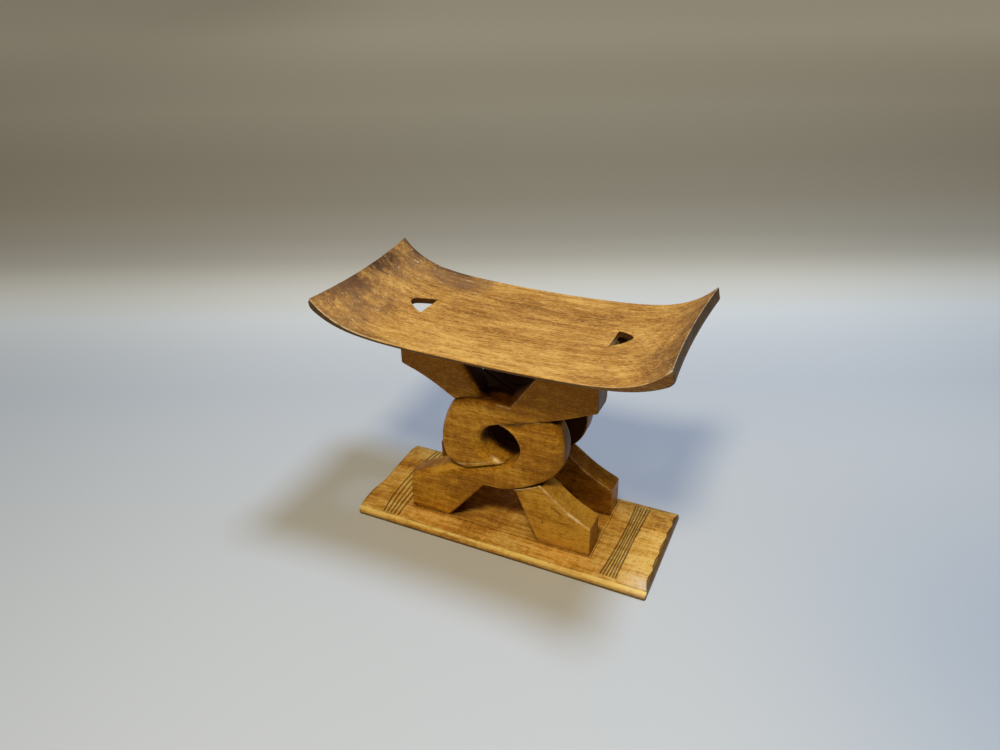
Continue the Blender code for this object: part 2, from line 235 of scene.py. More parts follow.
def pitPattern(tree, vector, scale, size, share):
    # Round spots in some of the cells of a Voronoi pattern
    cells = addNode(tree, "ShaderNodeTexVoronoi", {"Vector": vector, "Scale": scale})
    spot = between(tree, cells.outputs["Distance"], size, size * 0.4)
    chosen = addNode(tree, "ShaderNodeSeparateColor", {0: cells.outputs["Color"]}).outputs[0]
    return calculate(tree, "MULTIPLY", spot, calculate(tree, "LESS_THAN", chosen, share))


def dents(tree, place, marks):
    # Small dark hollows: each mark is a centre, half sizes, a turn in degrees and a strength
    total = 0.0
    for centre, size, turn, strength in marks:
        angles = tuple(math.radians(angle) for angle in turn)
        values = {"Vector": place, "Location": centre, "Rotation": angles, "Scale": size}
        moved = addNode(tree, "ShaderNodeMapping", values, vector_type="TEXTURE").outputs[0]
        reach = vectorMath(tree, "LENGTH", {0: moved}, "Value")
        total = calculate(tree, "MAXIMUM", between(tree, reach, 1.0, 0.35, 0.0, strength), total)
    return total


def carvedWood(name, look):
    # One block's grain along X: rings, streaks, fibres and pores drawn out along X, a ripple
    # across it and clouds; then pits, dulled patches (on the hooks painted shade on the inward
    # faces), painted shade on the sides and in unlit hollows, seam dirt with painted shade, and
    # rubbed edges with painted highlights.
    # Each layer goes over the one before it by its pattern times its share.
    form = grainForm
    material = bpy.data.materials.new(name)
    material.use_nodes = True
    tree = material.node_tree
    shader = tree.nodes["Principled BSDF"]
    place = addNode(tree, "ShaderNodeTexCoord").outputs["Object"]
    swayed = swayedPlace(tree, place, look["sway"])

    def pattern(kind, vector=swayed, turn=(0, 0, 0)):
        scale, detail, roughness, distortion = form[kind]
        moved = placed(tree, vector, scale, turn)
        return noise(tree, moved, 1.0, detail, roughness, distortion).outputs["Fac"]

    def times(first, second, clamp=False):
        return calculate(tree, "MULTIPLY", first, second, clamp)

    def step(value, kind):
        return between(tree, value, *form[kind])

    rings = ringPattern(tree, swayed, look["pith"], look["ringDensity"])
    streaks, fibres, ripple, chips, dashes = map(pattern, ("streaks", "fibres", "ripple", "chips", "dashes"))
    clouds, mottle = pattern("clouds", place), pattern("mottle", place)
    parts = ((rings, look["ringShare"]), (streaks, look["streakShare"]), (fibres, look["fibreShare"]),
             (ripple, look["rippleShare"]), (clouds, look["cloudShare"]),
             (named(tree, "tint"), form["tintShare"]))
    tone = weighed(tree, parts, 0.5 - sum(share for _, share in parts) / 2)

    broken = weighed(tree, ((clouds, 0.55), (mottle, 0.45)))
    # Patina, and on the hooks painted shade on the faces turned inwards
    dulledAndShaded = named(tree, "patinaAndShade")
    patinaAndShade = times(dulledAndShaded, step(broken, "patinaAndShadeBreaks"))
    stain = times(named(tree, "stain"), step(broken, "stainBreaks"))
    scuffed = step(pattern("scuffs", turn=form["scuffTurn"]), "paleScuffs")
    scuffs = times(scuffed, step(dulledAndShaded, "scuffsWhereDulledAndShaded"))
    stretched = placed(tree, swayed, form["pitStretch"])
    pits = pitPattern(tree, stretched, look["pitDensity"], form["pitSize"], look["pitShare"])
    pits = calculate(tree, "MAXIMUM", pits, dents(tree, place, look["dents"]))
    shade = between(tree, named(tree, "shade"), look["shadeFrom"], look["shadeTo"])
    # Seam dirt with painted shade between the pieces
    dirtAndShade = times(named(tree, "dirtAndShade"), step(clouds, "dirtAndShadeBreaks"))
    # Wear together with painted highlights and painted light, held back where painted shade lies
    wearAndSheen = times(named(tree, "wearAndSheen"), step(mottle, "wearAndSheenBreaks"))
    wearAndSheen = times(wearAndSheen, calculate(tree, "SUBTRACT", 1.0, shade), clamp=True)

    colour = colourRamp(tree, tone, look["tones"])
    for factor, share, over in (
            (step(chips, "paleChips"), look["chipShare"], look["chipTone"]),
            (step(chips, "darkPores"), look["poreShare"], look["poreTone"]),
            (step(dashes, "darkDashes"), look["dashShare"], look["poreTone"]),
            (patinaAndShade, look["patinaAndShadeShare"], look["patinaAndShadeTone"]),
            (stain, form["darkShare"], look["stainTone"]),
            (scuffs, look["scuffShare"], look["wearAndSheenTone"]),
            (pits, form["darkShare"], look["dirtAndShadeTone"]),
            (named(tree, "cuts"), form["darkShare"], look["dirtAndShadeTone"]),
            (named(tree, "side"), look["sideShadeShare"], look["sideShadeTone"]),
            (shade, look["shadeShare"], look["shadeTone"]),
            (dirtAndShade, look["dirtAndShadeShare"], look["dirtAndShadeTone"]),
            (wearAndSheen, look["wearAndSheenShare"], look["wearAndSheenTone"])):
        colour = blendColour(tree, times(factor, share), colour, over)
    tree.links.new(colour, shader.inputs["Base Color"])

    rough = weighed(tree, ((fibres, 0.10), (mottle, 0.18), (pits, 0.25), (dirtAndShade, 0.18), (patinaAndShade, 0.10),
                           (wearAndSheen, -0.10)), look["roughness"])
    tree.links.new(rough, shader.inputs["Roughness"])
    shader.inputs["Specular IOR Level"].default_value = look["specular"]
    shader.inputs["Specular Tint"].default_value = (*look["specularTint"], 1)

    height = weighed(tree, ((fibres, 0.30), (chips, 0.35), (mottle, look["mottleBump"]),
                            (ripple, look["rippleBump"]), (pits, -1.2)))
    relief = {"Height": height, "Strength": look["bump"], "Distance": form["bumpDistance"]}
    tree.links.new(addNode(tree, "ShaderNodeBump", relief).outputs[0], shader.inputs["Normal"])
    return material


# Surfaces: grids of points, closed and joined into one mesh

def gridFaces(rows, columns, keep=None):
    # Quads of a grid whose point (i, j) has number i * columns + j
    i, j = np.meshgrid(np.arange(rows - 1), np.arange(columns - 1), indexing="ij")
    first = i * columns + j
    quads = np.stack([first, first + columns, first + columns + 1, first + 1], -1)
    return quads[keep] if keep is not None else quads.reshape(-1, 4)


def tubeFaces(rows, columns):
    # Quads of rows of points, each row closed on itself
    i, j = np.meshgrid(np.arange(rows - 1), np.arange(columns), indexing="ij")
    following = (j + 1) % columns
    quads = np.stack([i * columns + j, (i + 1) * columns + j, (i + 1) * columns + following,
                      i * columns + following], -1)
    return quads.reshape(-1, 4)


def edgeLoop(i0, i1, j0, j1):
    # Row and column numbers once round a block of a grid
    i = np.concatenate([np.arange(i0, i1), np.full(j1 - j0, i1), np.arange(i1, i0, -1), np.full(j1 - j0, i0)])
    j = np.concatenate([np.full(i1 - i0, j0), np.arange(j0, j1), np.full(i1 - i0, j1), np.arange(j1, j0, -1)])
    return i, j


def joinedMesh(name, blocks, weld=0.00002):
    # Blocks are (points, faces); equal points are welded and the faces turned outwards
    points, faces, start = [], [], 0
    for block, quads in blocks:
        flat = np.asarray(block).reshape(-1, 3)
        points.append(flat)
        faces += [tuple(face) for face in (np.asarray(quads) + start).tolist()]
        start += len(flat)
    mesh = bpy.data.meshes.new(name)
    mesh.from_pydata(np.concatenate(points).tolist(), [], faces)
    work = bmesh.new()
    work.from_mesh(mesh)
    bmesh.ops.remove_doubles(work, verts=work.verts, dist=weld)
    bmesh.ops.recalc_face_normals(work, faces=work.faces)
    work.to_mesh(mesh)
    work.free()
    return mesh


def closedTube(name, rings):
    # Rings of points in an array (rows, points, 3), with a face over each end
    rows, columns = rings.shape[:2]
    return joinedMesh(name, [(rings, tubeFaces(rows, columns)), (rings[0], [range(columns)]),
                             (rings[-1], [range(columns)])])


def putInScene(name, mesh):
    thing = bpy.data.objects.new(name, mesh)
    bpy.context.scene.collection.objects.link(thing)
    return thing


def readPoints(mesh):
    points = np.empty(len(mesh.vertices) * 3)
    mesh.vertices.foreach_get("co", points)
    return points.reshape(-1, 3)


def readNormals(mesh):
    normals = np.empty(len(mesh.vertices) * 3)
    mesh.vertex_normals.foreach_get("vector", normals)
    return normals.reshape(-1, 3)


def writePoints(mesh, points):
    mesh.vertices.foreach_set("co", points.ravel())
    mesh.update()


def setMask(mesh, name, values):
    layer = mesh.attributes.new(name, "FLOAT", "POINT")
    layer.data.foreach_set("value", np.clip(values, 0, 1).astype(np.float32))


def handMarks(points, size, seed):
    # A slow unevenness from -1 to 1: seven sine waves in scattered directions
    scatter = np.random.default_rng(seed)
    ways = scatter.normal(size=(7, 3))
    ways /= np.linalg.norm(ways, axis=1)[:, None]
    waves = 2 * np.pi / (size * scatter.uniform(0.6, 1.6, 7))
    starts = scatter.uniform(0, 2 * np.pi, 7)
    return np.sin(points @ (ways * waves[:, None]).T + starts).sum(1) / 3.5


def evened(mesh, values, rounds):
    # Each point's value blended with its neighbours', several times over
    ends = np.empty(len(mesh.edges) * 2, dtype=np.int64)
    mesh.edges.foreach_get("vertices", ends)
    here, there = ends.reshape(-1, 2).T
    count = np.bincount(here, minlength=len(values)) + np.bincount(there, minlength=len(values))
    for _ in range(rounds):
        total = np.bincount(here, values[there], len(values)) + np.bincount(there, values[here], len(values))
        values = (values + total / np.maximum(count, 1)) / 2
    return values


def smoothStep(value, low, high):
    # 0 below low, 1 above high and a smooth cubic between them
    share = np.clip((value - low) / (high - low), 0, 1)
    return share * share * (3 - 2 * share)


def fallingStep(value, low, high):
    # 1 below low, 0 above high
    return smoothStep(-value, -high, -low)


def bell(value, reach):
    # 1 at nought, falling off on both sides as the exponential of minus the square
    return np.exp(-(value / reach) ** 2)


def spot(across, up, reach):
    # A round bell about the middle of two distances
    return bell(np.hypot(across, up), reach)


def flatSpot(across, up):
    # 1 at the middle of two distances and nearly so all round it, falling off steeply near 1
    return np.exp(-(across ** 2 + up ** 2) ** 2)


def cornerPull(inEnd, inSide):
    # The share by which a place that lies in a corner's square is drawn towards the middle of
    # the corner's quarter circle, so that the square's edge comes to lie on the circle
    near = (inEnd > 0) & (inSide > 0)
    return np.where(near, 1 - np.maximum(inEnd, inSide) / np.maximum(np.hypot(inEnd, inSide), 1e-9), 0)


def nearLine(points, line, reach):
    # 1 on a line through the given places, falling off with the distance from it
    best = np.full(len(points), np.inf)
    for here, there in zip(line, line[1:]):
        way = there - here
        share = np.clip((points - here) @ way / (way @ way), 0, 1)
        best = np.minimum(best, np.linalg.norm(points - here - share[:, None] * way, axis=1))
    return bell(best, reach)


# The stool's own sizes, the same as its solids have

whole = {
    "height": 0.380,
    "seam": 0.0003,
    "plinthTop": 0.0150,
    "frontFace": -0.0580,
    "backFace": 0.0775,
    "panelDepth": 0.0385,
    "leftReach": 0.150,
    "rightReach": 0.1395,
    "armExtra": {"front": 0.0015, "back": 0.0080},   # how much further right the arms end than the legs
}

seatForm = {
    "length": 0.487, "depth": 0.249,
    "bow": 0.0115, "horn": 0.0365, "hornPower": 7, "dish": 0.0030,
    "thickness": 0.0085, "rimThickness": 0.0045, "rimReach": 0.0420,
    "leftTip": 0.0150, "rightTip": 0.0200, "tipLean": 0.0045,
    "sideInset": 0.0045, "endInset": 0.0060,
    "leftCorner": 0.0022, "rightCorner": 0.0012,     # how round the corners are in plan
    "topEdge": 0.0013, "underEdge": 0.0022,          # how worn the long edges are
    "leftTipEdge": 0.0075, "rightTipEdge": 0.0055,   # and the underside's edge at the tips
    "underCorner": 0.0060,                           # the corners' roundness low down
    "toolMarks": 0.00030, "markSize": 0.05, "markFade": 0.012,
    "crowding": (0, 0.10, 0.28, 0.50, 0.78, 1.15, 1.8, 3.0, 5.0),    # grid lines at an edge, in edge widths
}

# Each finger hole: a straight side towards the middle from the front to the back corner, and
# bulging sides to an outer corner, which the left one has cut off blunt
holeForm = {
    -1: {"start": 0.1365, "front": -0.0192, "back": 0.0266, "apex": 0.0077, "length": 0.0285,
         "bulge": 0.0030, "blunt": 0.0040, "facet": 0.0032},
    1: {"start": 0.1362, "front": -0.0113, "back": 0.0331, "apex": 0.0163, "length": 0.0240,
        "bulge": 0.0034, "blunt": 0.0012, "facet": 0.0},
    "edge": 0.0009, "overcut": 0.0085, "overcutDepth": 0.0008, "overcutFade": 0.6, "facetSlope": 0.7,
    "bulgedShare": 0.31,     # of the outline's points, on each bulging side
    "crowding": 0.11,        # how much the points crowd at the corners
    # Rings round the hole, as shares of the way in and then by their distance from it
    "ringShares": (0, 0.12, 0.25, 0.38, 0.50, 0.61, 0.70),
    "ringGaps": (0.0032, 0.0022, 0.0014, 0.0008, 0.0004, 0.0002, 0.0),
}


def seatPoint(u, v, corner=None):
    # Plan and height of the seat's top: u and v run from -1 to 1 along and across. Ends and
    # sides are a little hollow, corners are rounded, and the top bows up to steep horns.
    form = seatForm
    x = u * (form["length"] / 2 - form["endInset"] * (1 - v ** 2))
    y = v * (form["depth"] / 2 - form["sideInset"] * (1 - u ** 2))
    z = (whole["height"] - form["bow"] * (1 - u ** 2) - form["horn"] * (1 - np.abs(u) ** form["hornPower"])
         - form["dish"] * (1 - v ** 2))
    corner = np.where(u < 0, form["leftCorner"], form["rightCorner"]) if corner is None else corner
    inEnd = corner - (1 - np.abs(u)) * form["length"] / 2
    inSide = corner - (1 - np.abs(v)) * form["depth"] / 2
    pull = cornerPull(inEnd, inSide)
    return x - np.sign(u) * inEnd * pull, y - np.sign(v) * inSide * pull, z


def seatWall(u, v):
    # Thickness: full in the middle, thin along the sides, thick at the tips
    form = seatForm
    inwards = np.clip((1 - np.abs(v)) * form["depth"] / 2 / form["rimReach"], 0, 1)
    middle = form["rimThickness"] + (form["thickness"] - form["rimThickness"]) * inwards * (2 - inwards)
    tip = np.where(u < 0, form["leftTip"], form["rightTip"])
    return middle + (tip - middle) * np.abs(u) ** form["hornPower"]


def roundedDrop(gap, radius):
    # How far a quarter-round edge falls below its face at a distance in from the edge
    inside = np.clip(radius - gap, 0, radius)
    return radius - np.sqrt(np.maximum(radius ** 2 - inside ** 2, 0))


def seatEdgeGap(u, v):
    # The distance to the nearest end or side
    return np.minimum((1 - np.abs(u)) * seatForm["length"], (1 - np.abs(v)) * seatForm["depth"]) / 2


def seatTop(u, v, drop=0.0):
    # The worked top face: tool marks that fade out at the edges, which are rounded over
    form = seatForm
    x, y, z = seatPoint(u, v)
    flat = np.stack([x, y * 1.6, z * 0], -1).reshape(-1, 3)
    marks = handMarks(flat, form["markSize"], 4).reshape(np.shape(x)) * form["toolMarks"]
    gap = seatEdgeGap(u, v)
    z = z + marks * smoothStep(gap, 0, form["markFade"]) - roundedDrop(gap, form["topEdge"]) - drop
    return np.stack([x, y, z], -1)


def seatUnder(u, v, lift=0.0):
    # The underside: a wall's thickness below the top, leaning out at the tips, edges rounded
    form = seatForm
    x, y, z = seatPoint(u, v, form["underCorner"])
    lean = form["tipLean"] * np.sign(u) * np.abs(u) ** form["hornPower"]
    tip = np.where(u < 0, form["leftTipEdge"], form["rightTipEdge"])
    radius = form["underEdge"] + (tip - form["underEdge"]) * np.abs(u) ** (2 * form["hornPower"])
    z = z - seatWall(u, v) + roundedDrop(seatEdgeGap(u, v), radius) + lift
    return np.stack([x + lean, y, z], -1)


def planToSeat(x, y):
    # The (u, v) of a place in plan, by a few rounds of correction
    form = seatForm
    u, v = 2 * x / form["length"], 2 * y / form["depth"]
    for _ in range(6):
        u, v = (x / (form["length"] / 2 - form["endInset"] * (1 - v ** 2)),
                y / (form["depth"] / 2 - form["sideInset"] * (1 - u ** 2)))
    return u, v


def leafOutline(side, count):
    # The hole's outline, with points that crowd at the three corners, the corners' numbers
    # and how wide the pared facet is at each point of the straight side
    form = holeForm[side]
    tip = (form["length"] + form["blunt"], form["apex"])
    corners = np.array([(0, form["front"]), (0, form["back"]), tip])
    bulges = (0, form["bulge"], form["bulge"])
    bulged = int(count * holeForm["bulgedShare"])
    counts = (count - 2 * bulged, bulged, bulged)
    places, cornerAt, facets = [], [], []
    for k in range(3):
        start, end = corners[k], corners[(k + 1) % 3]
        along = end - start
        out = np.array([along[1], -along[0]]) / np.linalg.norm(along)
        out *= -1 if out @ (start + end - 2 * corners.mean(0)) < 0 else 1
        t = np.arange(counts[k]) / counts[k]
        t = t - holeForm["crowding"] * np.sin(2 * np.pi * t)
        cornerAt.append(sum(counts[:k]))
        places.append(start + along * t[:, None] + out * (bulges[k] * 4 * t * (1 - t))[:, None])
        facets.append(form["facet"] * t if k == 0 else 0 * t)
    outline = np.concatenate(places)
    soft = form["blunt"] / 4
    reach = -soft * np.log(np.exp(-outline[:, 0] / soft) + np.exp(-form["length"] / soft))
    outline = np.stack([side * (form["start"] + reach), outline[:, 1]], -1)
    return outline, cornerAt, np.concatenate(facets)


def holeBlocks(side, loop):
    # Rings from the cut-out block's edge in to the hole's outline, on both faces of the
    # seat, and the wall between them. Returns the blocks and the knife cuts' places. The
    # outline's points are paired with the loop's by the turn that lies closest to it.
    form = holeForm
    outline, cornerAt, facets = leafOutline(side, len(loop))
    aimed = np.stack(planToSeat(outline[:, 0], outline[:, 1]), -1)
    turned = [(aimed, 1), (aimed[::-1], -1)]
    _, shift, flip = min(((np.square(np.roll(way, k, 0) - loop).sum(), k, flip) for way, flip in turned
                          for k in range(len(loop))), key=lambda tried: tried[0])
    aimed, facets = (np.roll(values[::flip], shift, 0) for values in (aimed, facets))
    size = np.array([seatForm["length"], seatForm["depth"]]) / 2
    span = np.linalg.norm((loop - aimed) * size, axis=1)
    shares = [np.full(len(loop), share) for share in form["ringShares"]]
    shares = np.stack(shares + [1 - gap / span for gap in form["ringGaps"]])
    rings = loop + (aimed - loop) * shares[..., None]
    gaps = (1 - shares) * span
    drop = roundedDrop(gaps, form["edge"])
    facet = np.clip(facets - gaps, 0, None) * form["facetSlope"]
    corners = np.array(cornerAt)[:2]
    corners = ((corners if flip == 1 else len(loop) - 1 - corners) + shift) % len(loop)
    cut = np.zeros_like(gaps)
    cut[:, corners] = np.clip(1 - gaps[:, corners] / form["overcut"], 0, 1) ** form["overcutFade"]
    top = seatTop(rings[..., 0], rings[..., 1], drop + facet + cut * form["overcutDepth"])
    under = seatUnder(rings[..., 0], rings[..., 1], drop)
    wall = top[-1] + (under[-1] - top[-1]) * np.linspace(0, 1, 5)[:, None, None]
    blocks = [(sheet, tubeFaces(*sheet.shape[:2])) for sheet in (top, under, wall)]
    return blocks, top[cut > 0.02], cut[cut > 0.02]


def seatLines(marks, steps, edge):
    # Grid lines from -1 to 1 that pass through the marks, crowded at both ends
    spans = zip(marks, marks[1:], steps)
    inner = np.concatenate([np.linspace(a, b, count, endpoint=False) for a, b, count in spans])
    crowd = 1 - np.array(seatForm["crowding"]) * edge
    inner = inner[np.abs(inner) < crowd[-1] - edge]
    return np.concatenate([-crowd, inner, crowd[::-1]])


# How use has marked the seat, and its painted highlights and shade. Pairs are where a step
# starts and ends, in m, or in parts of the normal where the name says facing. Reaches are bells'
# widths in m. Shares and tints run to 1.
seatMarks = {
    "topDepth": (0.0006, 0.0014),                        # how far below the face still counts as top
    "endArris": 0.0009, "endArrisShare": 0.75,           # polished arrises of the right end and the front, painted bright with their highlights
    "sideArris": 0.0008, "rubbedLeft": (0.10, 0.18), "rubbedRight": (0.08, 0.20), "rubbedRightShare": 0.6,
    "glint": (0.2415, -0.1230), "glintReach": 0.0045,    # a painted highlight on the front right corner
    # Painted shade on the rim, a little less on the front rim's right part, and more under the right front
    # corner
    "rimReach": 0.012, "rightPart": (0.12, 0.20), "warmFacing": 0.6, "warmShare": 0.22,
    "underFront": (0.050, 0.085), "underFacing": (0.05, 0.30), "underShadeShare": 0.55,
    "dullLeft": (0.135, 0.225), "dullBack": (0.045, 0.095), "dullBackLeft": (0.050, 0.120),
    "dullRight": (0.195, 0.235), "dullRightShare": 0.45,
    "greySpot": (0.205, -0.045), "greyReach": 0.022, "greyShare": 0.35,
    "leftLine": 0.010, "leftLineShare": 0.5, "backLine": 0.003, "backLineShare": 0.4,
    "leftStain": 0.020, "stainLeast": 0.35, "stainAcross": (-0.6, 0.0), "stainUntil": (0.5, 0.9),
    "sideStain": 0.012, "sideStainFrom": (0.06, 0.15), "sideStainShare": 0.45,
    "rightStain": 0.012, "rightStainShare": 0.45, "upFacing": 0.2, "cutReach": 1e-5,
    # Darker along a band behind the middle, a little lighter at the back edge, lightest in front
    "behindPlace": 0.066, "behindReach": 0.022, "behindMiddle": 0.01, "behindHalf": (0.07, 0.17),
    "behindTint": -0.12,
    "backEdge": (0.092, 0.112), "backMiddle": 0.03, "backHalf": (0.08, 0.20), "backTint": 0.05,
    "frontEdge": (0.030, 0.105), "frontHalf": (0.08, 0.22), "frontTint": 0.16,
    "endsFrom": (0.160, 0.235), "endsTint": -0.05,
}


def markSeat(mesh, cutPlaces, cutShares):
    # The knife's cuts lie on points of their own. The other masks are products of steps and bells
    # of the gaps to the ends and sides, the place in plan, the depth and the way a place faces.
    form = seatMarks
    points, normals = readPoints(mesh), readNormals(mesh)
    cuts = np.zeros(len(points))
    for place, share in zip(cutPlaces, cutShares):
        cuts = np.maximum(cuts, share * (np.abs(points - place).sum(1) < form["cutReach"]))
    setMask(mesh, "cuts", cuts)
    x, y, z = points.T
    upward = normals[:, 2]
    above = upward > form["upFacing"]
    u, v = planToSeat(x, y)
    endGap, sideGap = (1 - np.abs(u)) * seatForm["length"] / 2, (1 - np.abs(v)) * seatForm["depth"] / 2
    onTop = 1 - smoothStep(seatPoint(u, v)[2] - z, *form["topDepth"])
    atRight = smoothStep(x, *form["rightPart"])

    rubbed = form["rubbedRightShare"] * smoothStep(x, *form["rubbedRight"])
    rubbed = np.maximum(smoothStep(-x, *form["rubbedLeft"]), rubbed) * (y < 0)
    # Worn arrises painted bright with their highlights, and a painted highlight glint on the front right
    # corner
    arris = np.maximum(form["endArrisShare"] * bell(endGap, form["endArris"]) * (x > 0),
                       bell(sideGap, form["sideArris"]) * rubbed)
    glint = spot(x - form["glint"][0], y - form["glint"][1], form["glintReach"])
    setMask(mesh, "wearAndSheen", np.maximum(arris, glint) * onTop)

    # Painted shade on the rim, a little less on the front rim's right part, and painted shade under the right
    # front corner
    warmRim = atRight * (y < 0) * (np.abs(normals[:, 1]) > form["warmFacing"])
    rim = (1 - onTop) * bell(np.minimum(endGap, sideGap), form["rimReach"])
    rim *= 1 - form["warmShare"] * warmRim
    underCorner = atRight * smoothStep(-y, *form["underFront"]) * smoothStep(-upward, *form["underFacing"])
    setMask(mesh, "side", np.maximum(rim, form["underShadeShare"] * underCorner))

    backLeft = smoothStep(y, *form["dullBack"]) * smoothStep(-x, *form["dullBackLeft"])
    atLeft = np.maximum(smoothStep(-x, *form["dullLeft"]), backLeft)
    atEnd = form["dullRightShare"] * smoothStep(x, *form["dullRight"])
    atEnd += form["greyShare"] * spot(x - form["greySpot"][0], y - form["greySpot"][1], form["greyReach"])
    lines = form["leftLineShare"] * bell(endGap, form["leftLine"]) * (x < 0)
    lines += form["backLineShare"] * bell(sideGap, form["backLine"]) * (y > 0)
    setMask(mesh, "patinaAndShade", (np.maximum(atLeft, atEnd) + lines) * above)

    middle = smoothStep(v, *form["stainAcross"]) * fallingStep(v, *form["stainUntil"])
    leftEdge = bell(endGap, form["leftStain"]) * (x < 0)
    leftEdge *= form["stainLeast"] + (1 - form["stainLeast"]) * middle
    sideEdge = bell(sideGap, form["sideStain"]) * smoothStep(-x, *form["sideStainFrom"])
    sideEdge *= form["sideStainShare"] * (1.0 + (y > 0))
    rightEdge = form["rightStainShare"] * bell(endGap, form["rightStain"]) * (x > 0)
    setMask(mesh, "stain", np.maximum(np.maximum(leftEdge, sideEdge), rightEdge) * above)

    behind = bell(y - form["behindPlace"], form["behindReach"])
    behind *= fallingStep(np.abs(x - form["behindMiddle"]), *form["behindHalf"])
    atBack = smoothStep(y, *form["backEdge"]) * fallingStep(np.abs(x - form["backMiddle"]), *form["backHalf"])
    inFront = smoothStep(-y, *form["frontEdge"]) * fallingStep(np.abs(x), *form["frontHalf"])
    atEnds = smoothStep(np.abs(x), *form["endsFrom"])
    setMask(mesh, "tint", 0.5 + form["behindTint"] * behind + form["backTint"] * atBack
            + form["frontTint"] * inFront + form["endsTint"] * atEnds)


def makeSeat():
    # A sheet over (u, v) for each face, both left open where the holes' blocks fit in, and a
    # rim between their edges
    uMarks, vMarks = (-1, -0.72, -0.50, 0.50, 0.72, 1), (-1, -0.30, 0.38, 1)
    uLines = seatLines(uMarks, (34, 22, 60, 22, 34), seatForm["topEdge"] * 2 / seatForm["length"])
    vLines = seatLines(vMarks, (30, 34, 30), seatForm["topEdge"] * 2 / seatForm["depth"])
    u, v = np.meshgrid(uLines, vLines, indexing="ij")
    rows, columns = u.shape
    keep = np.ones((rows - 1, columns - 1), bool)
    blocks, cutPlaces, cutShares = [], [], []
    j0, j1 = (int(np.argmin(np.abs(vLines - mark))) for mark in vMarks[1:3])
    for side, low, high in ((-1, uMarks[1], uMarks[2]), (1, uMarks[3], uMarks[4])):
        i0, i1 = (int(np.argmin(np.abs(uLines - mark))) for mark in (low, high))
        keep[i0:i1, j0:j1] = False
        i, j = edgeLoop(i0, i1, j0, j1)
        more, places, shares = holeBlocks(side, np.stack([uLines[i], vLines[j]], -1))
        blocks += more
        cutPlaces.append(places)
        cutShares.append(shares)
    top, under = seatTop(u, v), seatUnder(u, v)
    blocks += [(top, gridFaces(rows, columns, keep)), (under, gridFaces(rows, columns, keep))]
    i, j = edgeLoop(0, rows - 1, 0, columns - 1)
    rim = top[i, j] + (under[i, j] - top[i, j]) * np.linspace(0, 1, 6)[:, None, None]
    blocks.append((rim, tubeFaces(*rim.shape[:2])))
    mesh = joinedMesh("carvedSeat", blocks)
    markSeat(mesh, np.concatenate(cutPlaces), np.concatenate(cutShares))
    return putInScene("carvedSeat", mesh)


# Base

baseForm = {
    "length": 0.466, "depth": 0.190, "shift": 0.0010,
    "thickness": 0.0125, "edgeHeight": 0.0045, "bevel": 0.0065,
    "scallop": 0.0070, "corner": 0.0030, "topEdge": 0.0012,
    "plinthMargin": 0.0008, "plinthSlope": 0.0007,
    "dish": 0.0016,                      # hollow of the floor between the feet
    "dishMiddle": (-0.006, 0.010), "dishHalf": (0.125, 0.064),
    "toolMarks": 0.00035, "markSize": 0.035, "markFade": 0.010, "markLoss": 0.7,
    "endReach": 0.030,                   # how far in from the ends the scallops draw the top
}

# Cuts into the ends' top edge: places along the depth and shares of the scallop
rightScallops = ((-1.0, 0.05), (-0.90, 0.45), (-0.78, 0.86), (-0.67, 0.84), (-0.52, 0.52), (-0.42, 0.86),
                 (-0.23, 0.90), (-0.10, 0.62), (0.00, 0.88), (0.19, 0.80), (0.33, 0.56), (0.44, 0.86),
                 (0.60, 0.50), (0.675, 0.34), (0.78, 0.66), (0.86, 0.68), (1.0, 0.10))
leftScallops = ((-1.0, 0.55), (-0.88, 0.25), (-0.56, 0.0), (-0.38, 0.30), (-0.22, 0.62), (0.05, 0.58),
                (0.25, 0.40), (0.46, 0.42), (0.70, 0.22), (0.84, 0.15), (1.0, 0.75))
# How far the left end's foot stands out, in m, at places along the depth
leftWaves = ((-1.0, -0.0040), (-0.90, 0.0), (-0.80, 0.0012), (-0.53, 0.0026), (-0.38, 0.0020),
             (-0.16, -0.0010), (0.12, 0.0008), (0.48, 0.0026), (0.84, 0.0010), (1.0, 0.0))

incisedLines = {
    "width": 0.0026, "depth": 0.0014, "fade": 0.0025,
    # Groups of lines: their place and pitch at the ends, how far they bow out half way along,
    # how much wider the pitch gets there, and how far they slant
    "leftStart": -0.1630, "leftPitch": -0.0062, "leftCount": 5, "leftLength": 0.176,
    "leftBow": -0.0025, "leftFan": 0.27, "leftSlant": 0.0,
    "rightStart": 0.1650, "rightPitch": 0.0045, "rightCount": 6, "rightLength": 0.166,
    "rightBow": 0.0030, "rightFan": -0.20, "rightSlant": 0.0020,
    "nickPitch": 0.0058, "nickDepth": 0.0012, "wander": 0.0003,
}


